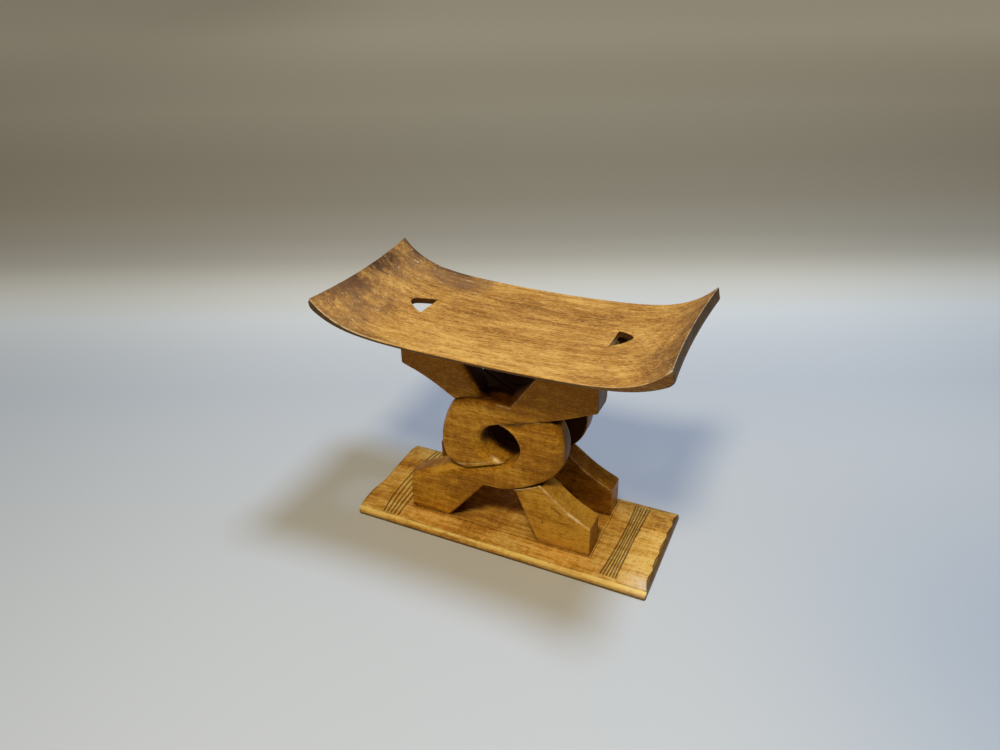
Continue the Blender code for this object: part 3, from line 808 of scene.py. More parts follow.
def incised(x, y):
    # Depth of the cut lines: a bell-shaped groove about each line, which wanders a little,
    # and slanted nicks between the outer pairs of the right-hand group. Also how much of a
    # ridge between two lines each place is.
    form = incisedLines
    depth, ridge = np.zeros_like(x), np.zeros_like(x)
    for side in ("left", "right"):
        half = form[side + "Length"] / 2
        ends = smoothStep(half - np.abs(y), 0, form["fade"])
        middle = 1 - (y / half) ** 2
        first = form[side + "Start"] + form[side + "Bow"] * middle + form[side + "Slant"] * y / half
        pitch = form[side + "Pitch"] * (1 + form[side + "Fan"] * middle)
        for k in range(form[side + "Count"]):
            line = first + k * pitch + form["wander"] * np.sin(y * (38 + 9 * k) + 2.1 * k)
            depth = np.maximum(depth, form["depth"] * ends * bell(x - line, form["width"] / 2))
            crest = bell(x - line - pitch * 0.5, 0.30 * pitch) * (k + 1 < form[side + "Count"])
            ridge = np.maximum(ridge, crest * ends)
    for low in (0, 4):
        across = (x - first) / pitch - low
        band = smoothStep(across, -0.25, 0.1) * fallingStep(across, 0.9, 1.25)
        stroke = np.clip(np.cos(2 * np.pi * (y / form["nickPitch"] + across * 0.55)), 0, 1) ** 2
        depth = np.maximum(depth, form["nickDepth"] * band * stroke * ends)
    return depth, ridge


def plinthEdges():
    # Left, right, front and back of the raised floor
    margin = baseForm["plinthMargin"]
    return (-whole["leftReach"] - margin, whole["rightReach"] + margin,
            whole["frontFace"] - margin, whole["backFace"] + margin)


def plinthShare(x, y):
    # 1 on the raised floor under the knots, 0 off it, with a short slope at its border
    slope = baseForm["plinthSlope"]
    left, right, front, back = plinthEdges()
    return (smoothStep(x, left - slope, left) * fallingStep(x, right, right + slope)
            * smoothStep(y, front - slope, front) * fallingStep(y, back, back + slope))


def baseTop(x, y, edgeGap):
    # Height of the plank's top: raised floor with a hollow in it, cut lines, tool marks
    form = baseForm
    raised = plinthShare(x, y)
    inX, inY = (np.clip(1 - ((value - middle) / half) ** 2, 0, 1)
                for value, middle, half in zip((x, y), form["dishMiddle"], form["dishHalf"]))
    flat = np.stack([x * 1.4, y, x * 0], -1).reshape(-1, 3)
    marks = handMarks(flat, form["markSize"], 11).reshape(np.shape(x)) * form["toolMarks"]
    return (form["thickness"] + (whole["plinthTop"] - form["thickness"]) * raised
            - form["dish"] * np.sqrt(inX * inY) * raised - incised(x, y)[0]
            + marks * smoothStep(edgeGap, 0, form["markFade"]) * (1 - form["markLoss"] * raised)
            - roundedDrop(edgeGap, form["topEdge"]))


def linesThrough(start, spans):
    # Grid lines from the start on, through spans of (end, step)
    parts = []
    for end, step in spans:
        parts.append(np.linspace(start, end, max(2, round((end - start) / step)), endpoint=False))
        start = end
    return np.concatenate(parts + [[start]])


# How use has marked the base, with its painted highlights and shade, in the same terms as the
# seat. The names that end in Above give the height over which a mark lies, those that end in Size
# the size of its unevenness.
baseMarks = {
    # A painted highlight on the bevels
    "bevelFrom": (0.0, 0.0008), "bevelUntil": (0.0025, 0.0047), "bevelAbove": 0.005,
    "bevelHighlightShare": 1.20, "bevelHighlightUneven": 0.15, "bevelSize": 0.05,
    "floorEdge": 0.0003, "floorEdgeReach": 0.0007, "floorEdgeAbove": 0.0142, "floorEdgeShare": 0.7,
    "ridgeShare": 0.42, "cutDepth": (0.0002, 0.0010), "cutShare": 0.9, "topAbove": 0.009,
    "scribeGap": 0.0004, "scribeReach": 0.0006, "scribeAbove": 0.010,
    "scribeShare": 0.35, "scribeUneven": 0.25, "scribeSize": 0.03, "borderShadeShare": 0.7,
    "endFacing": (0.30, 0.7), "endReach": 1.3,
    # Painted shade on the ends and low on the skirt, and a painted contact shadow along the foot
    "contactShadow": (0.0032, 0.0052), "low": (0.0055, 0.0078), "lowShadeShare": 0.5,
    # Bands of darker and lighter wood across both ends
    "bandPlaces": (-0.062, -0.012, 0.042), "bandReach": 0.020, "bandWaves": 150,
    "bandFrom": (0.185, 0.215), "bandTint": -0.14,
    "rightFrom": (0.05, 0.20), "rightTint": 0.10, "leftFrom": (0.12, 0.2), "leftTint": 0.08,
    "frontStrip": 0.004, "frontTint": 0.10, "raisedFloorShadeTint": -0.10,
    "paleCorner": (0.221, -0.078), "paleReach": (0.020, 0.015),
    "endRim": 0.006, "backRim": 0.008, "backRimShare": 0.8, "rimShare": 0.6,
}


def markBase(mesh):
    # Products of steps and bells of the distance out from the sides' and ends' edges, the
    # height, the depth of the cut lines and the way a place faces
    form = baseMarks
    half, side = baseForm["length"] / 2, baseForm["depth"] / 2 - baseForm["bevel"]
    _, right, front, _ = plinthEdges()
    points, normals = readPoints(mesh), readNormals(mesh)
    x, y, z = points[:, 0] - baseForm["shift"], points[:, 1], points[:, 2]
    upper = z > form["topAbove"]
    cut, ridge = incised(x, y)

    depthOn = np.abs(y) - side
    # A painted highlight along the bevels, where they reflect the key lamp
    onBevel = smoothStep(depthOn, *form["bevelFrom"]) * fallingStep(depthOn, *form["bevelUntil"])
    onBevel *= form["bevelHighlightShare"] + form["bevelHighlightUneven"] * handMarks(points, form["bevelSize"], 3)
    onBevel *= z > form["bevelAbove"]
    floorEdge = bell(x - right + form["floorEdge"], form["floorEdgeReach"]) * (z > form["floorEdgeAbove"])
    wornAndLit = np.maximum(onBevel, floorEdge * form["floorEdgeShare"])
    setMask(mesh, "wearAndSheen", np.maximum(wornAndLit, ridge * form["ridgeShare"] * upper))

    scribed = bell(depthOn + form["scribeGap"], form["scribeReach"]) * (z > form["scribeAbove"])
    scribed *= form["scribeShare"] + form["scribeUneven"] * handMarks(points, form["scribeSize"], 8)
    step = plinthShare(x, y)
    # Painted shade along the raised floor's sloped border
    borderShade = 4 * step * (1 - step) * form["borderShadeShare"]
    cuts = smoothStep(np.where(upper, cut, 0), *form["cutDepth"]) * form["cutShare"]
    setMask(mesh, "cuts", np.maximum(np.maximum(cuts, scribed), borderShade))

    # Painted shade on the ends and low on the skirt, and a painted contact shadow along the foot
    atEnd = np.abs(x) > half - baseForm["scallop"] * form["endReach"]
    ends = smoothStep(np.abs(normals[:, 0]), *form["endFacing"]) * atEnd
    low = np.maximum(form["lowShadeShare"] * fallingStep(z, *form["low"]), fallingStep(z, *form["contactShadow"]))
    setMask(mesh, "side", np.maximum(ends, low))

    bands = sum(np.cos((y - place) * form["bandWaves"]) * bell(y - place, form["bandReach"])
                for place in form["bandPlaces"]) * smoothStep(np.abs(x), *form["bandFrom"])
    # Painted shade darkens the raised floor under the knots
    setMask(mesh, "tint", 0.5 + form["rightTint"] * smoothStep(x, *form["rightFrom"])
            + form["leftTint"] * smoothStep(-x, *form["leftFrom"]) + form["bandTint"] * bands
            + form["frontTint"] * smoothStep(front - y, 0, form["frontStrip"]) + form["raisedFloorShadeTint"] * step)

    corner = (bell(x - form["paleCorner"][0], form["paleReach"][0])
              * bell(y - form["paleCorner"][1], form["paleReach"][1]))
    setMask(mesh, "patinaAndShade", corner)
    rims = bell(half - np.abs(x), form["endRim"]) + form["backRimShare"] * bell(side - y, form["backRim"])
    setMask(mesh, "stain", form["rimShare"] * rims * upper * (1 - corner))


def makeBase():
    # A grid for the top, drawn in at the ends by the scallops, a rounded skirt from its edge
    # down to the foot's outline, and a closed underside
    form = baseForm
    half, side = form["length"] / 2, form["depth"] / 2 - form["bevel"]
    left, right, front, back = plinthEdges()
    slope, edge = form["plinthSlope"], form["topEdge"]
    xLines = linesThrough(-half, (
        (-half + edge, edge / 4), (-0.200, 0.002), (-0.160, 0.00042), (left - slope, 0.0015),
        (left, slope / 4), (right - 0.0020, 0.0045), (right, 0.0005), (right + slope, slope / 4),
        (0.160, 0.0018), (0.193, 0.00038), (half - edge, 0.002), (half, edge / 4)))
    yLines = linesThrough(-side, (
        (-side + edge, edge / 4), (front - slope, 0.0012), (front, slope / 4), (back, 0.0013),
        (back + slope, slope / 4), (side - edge, 0.0012), (side, edge / 4)))
    x, y = np.meshgrid(xLines, yLines, indexing="ij")
    rows, columns = x.shape
    z = baseTop(x, y, np.minimum(half - np.abs(x), side - np.abs(y)))
    cutRight, cutLeft = (np.interp(y / side, *zip(*cuts)) * form["scallop"]
                         for cuts in (rightScallops, leftScallops))
    pulled = x + form["shift"] - cutRight * smoothStep(x, half - form["endReach"], half)
    pulled += cutLeft * smoothStep(-x, half - form["endReach"], half)
    top = np.stack([pulled, y, z], -1)
    i, j = edgeLoop(0, rows - 1, 0, columns - 1)
    rim = top[i, j]

    outer, corner = side + form["bevel"], form["corner"]
    foot = np.stack([x[i, j], y[i, j] * outer / side], -1)
    inEnd, inSide = corner - (half - np.abs(foot[:, 0])), corner - (outer - np.abs(foot[:, 1]))
    pull = cornerPull(inEnd, inSide)
    foot = foot - np.sign(foot) * np.stack([inEnd * pull, inSide * pull], -1)
    waves = np.interp(foot[:, 1] / outer, *zip(*leftWaves)) * (foot[:, 0] < 0)
    foot[:, 0] += form["shift"] - waves * smoothStep(np.abs(foot[:, 0]), half - form["endReach"], half)

    share = np.linspace(0, 1, 9)[:, None]
    out = 0.6 * share + 0.4 * np.sin(share * np.pi / 2)
    down = 0.6 * share + 0.4 * (1 - np.cos(share * np.pi / 2))
    skirt = np.empty((len(share), len(rim), 3))
    skirt[..., :2] = rim[:, :2] + (foot - rim[:, :2]) * out[..., None]
    skirt[..., 2] = rim[:, 2] + (form["edgeHeight"] - rim[:, 2]) * down
    under = np.stack([np.column_stack([foot * (1 - inset), np.full(len(foot), height)])
                      for inset, height in ((0, 0.0030), (0, 0.0012), (0.0010, 0.0003), (0.0030, 0.0))])
    count = len(foot)
    fan = np.column_stack([np.arange(count), (np.arange(count) + 1) % count, np.full(count, count)])
    lower = np.concatenate([skirt[-1:], under])
    mesh = joinedMesh("plankBase", [
        (top, gridFaces(rows, columns)), (skirt, tubeFaces(*skirt.shape[:2])),
        (lower, tubeFaces(*lower.shape[:2])), (np.vstack([under[-1], (form["shift"], 0, 0)]), fan)])
    markBase(mesh)
    return putInScene("plankBase", mesh)


# Knot

knotForm = {
    "eyeHalfWidth": 0.0315, "eyeHalfHeight": 0.0325,
    "softEdge": 0.0090, "inwardEdge": {"front": 0.0130, "back": 0.0012}, "crispEdge": 0.0010,
    "finer": 5,              # rows of the carved surface for each row of the plain solid
    "grain": 0.00125,        # size of the evened-out mesh
    "evening": 1,            # rounds of smoothing after that
    "toolMarks": 0.00028, "markSize": 0.030, "markFade": 0.006,
    "beyond": 0.02,          # how far the cutters reach past the wood
    "overrun": 4,            # and the straps past their toes and ends, in spans before them
    "overRows": 9, "underRows": 10,    # where the front half of a crossing ends, and the rear one starts
    "roundest": 0.47,        # a corner's largest radius, in widths or depths of the strap
    "armMiddle": (0.62, 0.425), "legMiddle": (0.725, -0.55),    # of the inner sides, in reaches and heights
    "backInnerSoft": 0.6,    # the back legs' inner edges, in softEdges
    "notchFrom": -0.031, "notchTo": 0.030, "notchFloor": 0.045,    # where the notch runs right through
}

upperHook = {
    "reach": 0.1395, "band": 0.0345, "loop": 0.0935, "notch": 0.0163,
    "armInside": 0.0760, "armEnd": 0.0640, "legRoot": 0.0230, "legInside": 0.0600, "legEnd": 0.0480,
    "rootShare": 1.13,
    "outer": ((-0.04, 1.01), (-0.38, 1.03), (-0.725, 0.89), (-0.88, 0.62), (-0.98, 0.20),
              (-1.00, -0.20), (-0.92, -0.60), (-0.68, -0.77), (-0.33, -0.84), (0.00, -0.97)),
    # Radii of the strap's four long edges at 18 places along it, in softEdges or inwardEdges
    "outerSoft": (0.12, 0.12, 0.12, 0.12, 0.5, 1.0, 1.5, 1.6, 1.3, 0.8, 0.5, 0.4, 0.3, 0.25,
                  0.12, 0.12, 0.12, 0.12),
    "innerSoft": (0.15, 0.15, 0.2, 0.2, 0.3, 0.5, 0.9, 1.3, 1.7, 1.8, 1.7, 1.5, 1.0, 0.4,
                  0.12, 0.12, 0.12, 0.12),
    "outerBack": (0.1, 0.1, 0.1, 0.1, 0.1, 0.15, 0.6, 1.1, 1.1, 1.1, 1.0, 0.8, 0.3, 0.2, 0.1, 0.1, 0.1, 0.1),
    "innerBack": (0.95, 0.95, 0.7, 0.2, 0.1, 0.1, 0.1, 0.1, 0.1, 0.1, 0.1, 0.1, 0.1, 0.1, 0.1, 0.1, 0.1, 0.1),
    "rise": (0, 0, 0, 0.011, 0.007, 0.002, 0, 0, 0, 0, 0, 0, 0, 0, 0, 0, 0, 0),
    "lip": (0, 0, 0, 0, 0, 0, 0, 0, 0, 0, 0.001, 0.0028, 0.0032, 0.0028, 0.001, 0, 0, 0),
    "facet": (0,) * 18,
}

lowerHook = {
    "reach": 0.150, "band": 0.0460, "loop": 0.0970, "notch": 0.0276,
    "armInside": 0.0860, "armEnd": 0.0590, "legRoot": 0.0290, "legInside": 0.0670, "legEnd": 0.0510,
    "rootShare": 0.92,
    "outer": ((0.00, 0.985), (-0.245, 0.905), (-0.52, 0.75), (-0.75, 0.54), (-0.94, 0.22),
              (-1.00, -0.15), (-0.96, -0.45), (-0.82, -0.70), (-0.52, -0.80), (0.00, -0.87)),
    "outerSoft": (0.6, 0.6, 0.6, 0.5, 0.6, 0.9, 1.3, 1.6, 1.7, 1.7, 1.6, 1.5, 1.1, 1.0, 1.1, 1.1, 1.1, 1.1),
    "innerSoft": (0.9, 1.1, 1.3, 1.4, 1.3, 1.0, 0.5, 0.22, 0.2, 0.2, 0.2, 0.2, 0.2, 0.2,
                  0.12, 0.12, 0.12, 0.12),
    "outerBack": (0.1, 0.1, 0.1, 0.15, 0.4, 0.6, 0.8, 1.0, 1.2, 1.2, 1.2, 1.1, 0.3, 0.1, 0.1, 0.1, 0.1, 0.1),
    "innerBack": (0.1,) * 18,
    "rise": (0,) * 18,
    "lip": (0,) * 18,
    "facet": (0.5, 0.5, 0.5, 0.6, 0.6, 0.4, 0.2, 0, 0, 0, 0, 0, 0, 0, 0, 0, 0, 0),
}

# Both hooks: the inner side round the eye, how deep the strap sinks behind the other one and the
# rows between one place and the next
eyeSide = ((1.43, 1.54), (0.38, 1.18), (-0.19, 1.00), (-0.63, 0.74), (-0.89, 0.43), (-1.00, 0.10),
           (-0.97, -0.22), (-0.83, -0.51), (-0.60, -0.77), (-0.13, -0.95), (0.83, -1.14), (2.03, -1.72))
sinkShares = (0, 0, 0, 0, 0, 0, 0, 0, 0, 0, 0, 0, 0.08, 0.14, 0.09, 0.03, 0, 0)
rowSteps = (1, 2, 2, 2, 3, 3, 4, 3, 3, 3, 4, 4, 3, 3, 2, 2, 1)

seatUnderMiddle = (whole["height"] - seatForm["bow"] - seatForm["horn"] - seatForm["dish"]
                   - seatForm["thickness"])
knotMiddle = (seatUnderMiddle + whole["plinthTop"]) / 2
knotHalf = (seatUnderMiddle - whole["plinthTop"]) / 2


def straightRows(points, steps):
    # Evenly spaced points from each given point to the next
    spans = [here + (there - here) * (np.arange(count) / count)[:, None]
             for here, there, count in zip(points, points[1:], steps)]
    return np.concatenate(spans)


def curvedRows(points, steps):
    # Catmull-Rom curve through the points
    padded = np.vstack([2 * points[0] - points[1], points, 2 * points[-1] - points[-2]])
    spans = []
    for k, count in enumerate(steps):
        a, b, c, d = padded[k:k + 4]
        t = (np.arange(count) / count)[:, None]
        spans.append(0.5 * (2 * b + (c - a) * t + (2 * a - 5 * b + 4 * c - d) * t ** 2
                            + (3 * b - a - 3 * c + d) * t ** 3))
    return np.concatenate(spans)


def spreadShares(values, steps):
    # One value for each row, in even steps from each given value to the next
    column = np.array(values, float).reshape(-1, 1)
    return np.concatenate([straightRows(column, steps)[:, 0], [values[-1]]])


def hookRows(hook):
    # Pairs of points across the strap, about the knot's middle, opening to the right:
    # from beyond the seat's level, round the eye, and past the base's level
    steps = [count * knotForm["finer"] for count in rowSteps]
    over = knotForm["eyeHalfHeight"] + hook["band"]
    notch = np.array([hook["notch"], over])
    root = np.array([hook["legRoot"], -hook["rootShare"] * over])
    armToe, legToe = np.array([hook["armInside"], knotHalf]), np.array([hook["legInside"], -knotHalf])
    armEnd = np.array([hook["reach"], knotHalf - hook["armEnd"]])
    legEnd = np.array([hook["reach"], hook["legEnd"] - knotHalf])
    armMid, legMid = (np.array(knotForm[name]) * (hook["reach"], knotHalf)
                      for name in ("armMiddle", "legMiddle"))
    turn = np.array(hook["outer"]) * (hook["loop"], over)
    eye = np.array(eyeSide) * (knotForm["eyeHalfWidth"], knotForm["eyeHalfHeight"])
    overrun = knotForm["overrun"]
    armStart, legStart = notch + overrun * (armToe - notch), root + overrun * (legToe - root)
    armFar, legFar = armEnd + overrun * (armEnd - armMid), legEnd + overrun * (legEnd - legMid)
    outer = np.concatenate([
        straightRows([armStart, armToe, (armToe + notch) / 2, notch], steps[:3]),
        curvedRows(np.vstack([notch, turn, root]), steps[3:14]),
        straightRows([root, (legToe + root) / 2, legToe, legStart], steps[14:]), [legStart]])
    inner = np.concatenate([
        straightRows([armFar, armEnd], steps[:1]),
        curvedRows(np.vstack([armEnd, armMid, eye, legMid, legEnd]), steps[1:16]),
        straightRows([legEnd, legFar], steps[16:]), [legFar]])
    return outer, inner, steps


def strapRings(hook, panel):
    # A rounded oblong across the strap at each row: four quarter circles of their own radii,
    # in (x, z, depth behind the panel's outer face). The outer side may rise to the rear, the
    # inner side may have a lip there, and its front corner may be pared to a flat facet. a is the
    # angle round a corner, w the distance across the strap and d the depth.
    outer, inner, steps = hookRows(hook)
    width = np.linalg.norm(inner - outer, axis=1)[:, None]
    across = (inner - outer) / width
    depth = whole["panelDepth"]
    most = knotForm["roundest"] * np.minimum(width, depth)

    def radii(table, unit):
        return np.clip(spreadShares(hook[table], steps)[:, None] * unit, knotForm["crispEdge"], most)

    ro, ri, rh = (radii(table, knotForm["softEdge"]) for table in ("outerSoft", "innerSoft", "innerBack"))
    rb = radii("outerBack", knotForm["inwardEdge"][panel])
    sink = spreadShares(sinkShares, steps)[:, None] * depth
    flatness, lip, rise = (spreadShares(hook[table], steps)[:, None] for table in ("facet", "lip", "rise"))
    a = np.linspace(0, np.pi / 2, 9)[None, :]
    line = flatness * a / (np.pi / 2)
    w = np.concatenate([ro - ro * np.cos(a), width - ri + ri * ((1 - flatness) * np.sin(a) + line),
                        width - rh + rh * np.cos(a), rb - rb * np.sin(a)], 1)
    d = np.concatenate([sink + ro - ro * np.sin(a), sink + ri * ((1 - flatness) * (1 - np.cos(a)) + line),
                        depth - rh + rh * np.sin(a), depth - rb + rb * np.cos(a)], 1)
    w += (lip * w / width - rise * (1 - w / width)) * d / depth
    flat = outer[:, None, :] + across[:, None, :] * w[..., None]
    return np.concatenate([flat, d[..., None]], -1)


def squareRings(hook, first, last, near, far):
    # Square rings of the strap between two depths, each side moved out by a seam at right
    # angles to its own run
    outer, inner = hookRows(hook)[:2]

    def widened(side, other):
        along = np.gradient(side, axis=0)
        away = np.stack([-along[:, 1], along[:, 0]], -1)
        away /= np.linalg.norm(away, axis=1)[:, None]
        return side + away * np.sign(((side - other) * away).sum(1))[:, None] * whole["seam"]

    grownOuter, grownInner = widened(outer, inner), widened(inner, outer)
    around = ((grownOuter, near), (grownInner, near), (grownInner, far), (grownOuter, far))
    corners = [np.column_stack([side, np.full(len(side), level)]) for side, level in around]
    return np.stack(corners, 1)[first:last]


def intoPanel(rings, turned, panel):
    # Half a turn makes the lower hook, and the back panel is the front one mirrored
    sign = -1 if turned else 1
    y = whole["frontFace"] + rings[..., 2] if panel == "front" else whole["backFace"] - rings[..., 2]
    return np.stack([sign * rings[..., 0], y, knotMiddle + sign * rings[..., 1]], -1)


def notchBlock(panel, spare):
    # The rear half of the panel in the notch between the arms, grown by a spare gap
    form, beyond = knotForm, knotForm["beyond"]
    x0, x1, floor = form["notchFrom"] - spare, form["notchTo"] + spare, form["notchFloor"] - spare
    near, far = (whole["panelDepth"] - whole["seam"]) / 2 - spare, whole["panelDepth"] + beyond
    corners = np.array([(x0, floor), (x1, floor), (x1, knotHalf + beyond), (x0, knotHalf + beyond)])
    rings = np.stack([np.column_stack([corners, np.full(4, level)]) for level in (near, far)])
    return putInScene("notchBlock", closedTube("notchBlock", intoPanel(rings, False, panel)))


def weaveCutter(hook, turned, panel):
    # The front half of the hook's own crossing and the back half of the other one
    finer, beyond = knotForm["finer"], knotForm["beyond"]
    middle, seam = whole["panelDepth"] / 2, whole["seam"]
    total = [count * finer for count in rowSteps]
    over = squareRings(hook, finer, sum(total[:knotForm["overRows"]]), -beyond, middle + seam / 2)
    under = squareRings(hook, sum(total[:knotForm["underRows"]]), sum(total) - finer,
                        middle - seam / 2, whole["panelDepth"] + beyond)
    blocks = []
    for rings in (intoPanel(over, turned, panel), intoPanel(under, turned, panel)):
        blocks += [(rings, tubeFaces(*rings.shape[:2])), (rings[0], [range(4)]), (rings[-1], [range(4)])]
    return putInScene("weaveCutter", joinedMesh("weaveCutter", blocks))


def seatCutter():
    # All that lies above the seat's underside, lowered by a seam
    u, v = np.meshgrid(np.linspace(-0.9, 0.9, 91), np.linspace(-1, 1, 21), indexing="ij")
    x, y, z = seatPoint(u, v)
    low = np.stack([x, y, z - seatWall(u, v) - whole["seam"]], -1)
    high = np.stack([x, y, np.full_like(z, whole["height"] + knotForm["beyond"])], -1)
    i, j = edgeLoop(0, u.shape[0] - 1, 0, u.shape[1] - 1)
    side = np.stack([low[i, j], high[i, j]])
    faces = gridFaces(*u.shape)
    blocks = [(low, faces), (high, faces), (side, tubeFaces(*side.shape[:2]))]
    return putInScene("seatCutter", joinedMesh("seatCutter", blocks))


def roomCutter(panel):
    # The space for a knot between the plinth and the seat, stepped out for the arm's end
    left, right = -whole["leftReach"], whole["rightReach"]
    out, beyond = right + whole["armExtra"][panel], knotForm["beyond"]
    low, high = whole["plinthTop"] + whole["seam"], whole["height"]
    outline = np.array([(left, low), (right, low), (right, knotMiddle), (out, knotMiddle),
                        (out, high), (left, high)])
    rings = np.stack([np.column_stack([outline[:, 0], np.full(len(outline), y), outline[:, 1]])
                      for y in (whole["frontFace"] - beyond, whole["backFace"] + beyond)])
    return putInScene("roomCutter", closedTube("roomCutter", rings))


def carving(cutter, operation="DIFFERENCE"):
    return "BOOLEAN", {"operation": operation, "object": cutter, "solver": "EXACT"}


def applied(thing, steps):
    # Runs the modifiers in order and keeps their result as the mesh
    for kind, settings in steps:
        modifier = thing.modifiers.new(kind, kind)
        for key, value in settings.items():
            setattr(modifier, key, value)
    bpy.context.view_layer.update()
    carved = bpy.data.meshes.new_from_object(thing.evaluated_get(bpy.context.evaluated_depsgraph_get()))
    thing.modifiers.clear()
    thing.data = carved
    return carved


def makeHook(name, hook, turned, panel, room, cutters):
    # The strap kept inside the room and cut by the others, then evened out and given tool marks
    # that fade out at the foot
    form = knotForm
    strap = putInScene(name, closedTube(name, intoPanel(strapRings(hook, panel), turned, panel)))
    mesh = applied(strap, [carving(room, "INTERSECT"), *map(carving, cutters),
                           ("REMESH", {"mode": "VOXEL", "voxel_size": form["grain"]}),
                           ("SMOOTH", {"factor": 0.5, "iterations": form["evening"]})])
    points, normals = readPoints(mesh), readNormals(mesh)
    marks = form["toolMarks"] * (handMarks(points, form["markSize"], len(name) + 3 * turned) - 0.5)
    marks *= smoothStep(points[:, 2] - whole["plinthTop"], 0, form["markFade"])
    writePoints(mesh, points + normals * marks[:, None])
    return strap


def makeKnots():
    # Each panel's cutters, and its two hooks cut to one another
    seatAbove = seatCutter()
    hooks = {}
    for panel in ("front", "back"):
        room, notch, wideNotch = roomCutter(panel), notchBlock(panel, 0), notchBlock(panel, whole["seam"])
        overUpper, overLower = weaveCutter(lowerHook, True, panel), weaveCutter(upperHook, False, panel)
        applied(overUpper, [carving(notch)])
        for level, hook, turned, cutters in (("upper", upperHook, False, (overUpper,)),
                                             ("lower", lowerHook, True, (overLower, wideNotch))):
            name = panel + level.capitalize() + "Hook"
            if panel == "back":
                hook = {**hook, "innerSoft": hook["innerSoft"][:14] + (knotForm["backInnerSoft"],) * 4}
            hooks[panel, level] = makeHook(name, hook, turned, panel, room, (seatAbove, *cutters))
            print(name, "carved")
        for cutter in (room, notch, wideNotch, overUpper, overLower):
            bpy.data.objects.remove(cutter)
    bpy.data.objects.remove(seatAbove)
    return hooks


# Dirt and shade

# Places where light falls in: the groove between the front loop and the foot, and the back arm's
# inner face under the right finger hole. Middles and reaches in the (x, z) plane, spans of y.
lightForm = {
    "footMiddle": (-0.077, 0.115), "footReach": 0.015, "footFront": (0.028, 0.036),
    "holeMiddle": (0.129, 0.312), "holeReach": (0.0085, 0.009),
    "holeFrom": (0.032, 0.037), "holeUntil": (0.044, 0.050),
}

dirtAndShadeForm = {
    "cell": 0.0025,
    "margin": 4,                         # empty cells round the stool
    "near": 4, "share": 0.52,            # how fast the dirt and painted shade gather beside other wood, and their most
    "eyeSize": 1.15, "eyeLight": 0.9,    # less of them in the front eye, where light falls in
    "footLight": 0.6,                    # and over the foot, where light falls in too
    "stain": 0.15, "stainMore": 0.35, "stainNear": 12,
}

shadeForm = {
    "cell": 0.005, "margin": 4,
    "reach": 22, "fade": 0.955,          # steps that a cell looks, and what wood keeps at each
    "lift": 1.6,                         # cells from a place to where it looks from
    "evening": 6,
    # The share that is kept: more high up and towards the back, less low down at the back
    "kept": 0.78, "high": (0.12, 0.24), "highMore": 0.42,
    "rear": (-0.050, -0.034), "rearMore": 0.22, "back": (0.0, 0.030), "backMore": 0.75,
    "rearHigh": (0.115, 0.135), "backLow": (0.09, 0.12), "backLess": 0.26,
    # Added on the back panel's inner face, about its middle
    "inner": 0.55, "innerFacing": (0.2, 0.6), "innerHigh": (0.070, 0.095),
    "innerMiddle": -0.02, "innerHalf": (0.05, 0.08),
    # Taken off the eye's floor, the crossings' upper sides and the places where light falls in
    "eye": 0.30, "eyeFront": (0.020, 0.040), "eyeFacing": (0.1, 0.6), "eyeSize": 1.25,
    "saddle": 0.32, "saddleFront": (0.022, 0.036), "saddleFacing": (0.3, 0.7),
    "foot": 0.30, "hole": 1.2,
    "wall": 0.6, "wallFacing": (0.4, 0.7), "wallHigh": (0.310, 0.316), "wallPlace": 0.136, "wallReach": 0.006,
}


def occupied(clouds, cell, low, shape):
    # A grid of cells, 1 where any point of the clouds lies, blurred over its neighbours
    grid = np.zeros(shape, np.float32)
    for cloud in clouds:
        i, j, k = ((cloud - low) / cell).astype(int).T
        grid[i, j, k] = 1
    for axis in (0, 1, 2) * 2:
        grid = (np.roll(grid, 1, axis) + grid + np.roll(grid, -1, axis)) / 3
    return grid


def cellsAround(points, cell, margin):
    # The low corner and the shape of a grid of cells round all the points
    low = points.min(0) - margin * cell
    return low, np.ceil((points.max(0) + margin * cell - low) / cell).astype(int)


def inEye(x, z, size):
    # 1 inside the knots' eye, seen from the front, falling off at its border
    return flatSpot(x / knotForm["eyeHalfWidth"] / size, (z - knotMiddle) / knotForm["eyeHalfHeight"] / size)


def aboveFoot(x, y, z):
    # 1 in the groove between the front loop and the top of the foot
    form = lightForm
    near = spot(x - form["footMiddle"][0], z - form["footMiddle"][1], form["footReach"])
    return near * smoothStep(-y, *form["footFront"])


def underHole(x, y, z):
    # 1 on the back arm's inner face under the right finger hole
    form = lightForm
    across, up = ((value - middle) / reach
                  for value, middle, reach in zip((x, z), form["holeMiddle"], form["holeReach"]))
    return flatSpot(across, up) * smoothStep(y, *form["holeFrom"]) * fallingStep(y, *form["holeUntil"])


def addSeamDirtAndShade(pieces):
    # Dirt and painted shade by the square of how much of the other pieces lies in the cells near by,
    # less of them where light falls in over the eye and the foot. The hooks' stain: some all over, more
    # near the other pieces.
    form, cell = dirtAndShadeForm, dirtAndShadeForm["cell"]
    clouds = {piece.name: readPoints(piece.data) for piece in pieces}
    low, shape = cellsAround(np.concatenate(list(clouds.values())), cell, form["margin"])
    for piece in pieces:
        grid = occupied([cloud for name, cloud in clouds.items() if name != piece.name], cell, low, shape)
        i, j, k = ((clouds[piece.name] - low) / cell).astype(int).T
        x, y, z = clouds[piece.name].T
        if "stain" not in piece.data.attributes:
            stain = form["stain"] + form["stainMore"] * np.clip(grid[i, j, k] * form["stainNear"], 0, 1)
            setMask(piece.data, "stain", stain)
        # Seam dirt with painted shade between the pieces
        darkening = form["share"] * np.clip(grid[i, j, k] * form["near"], 0, 1) ** 2
        darkening *= 1 - form["footLight"] * aboveFoot(x, y, z)
        setMask(piece.data, "dirtAndShade", darkening * (1 - form["eyeLight"] * inEye(x, z, form["eyeSize"]) * (y < 0)))


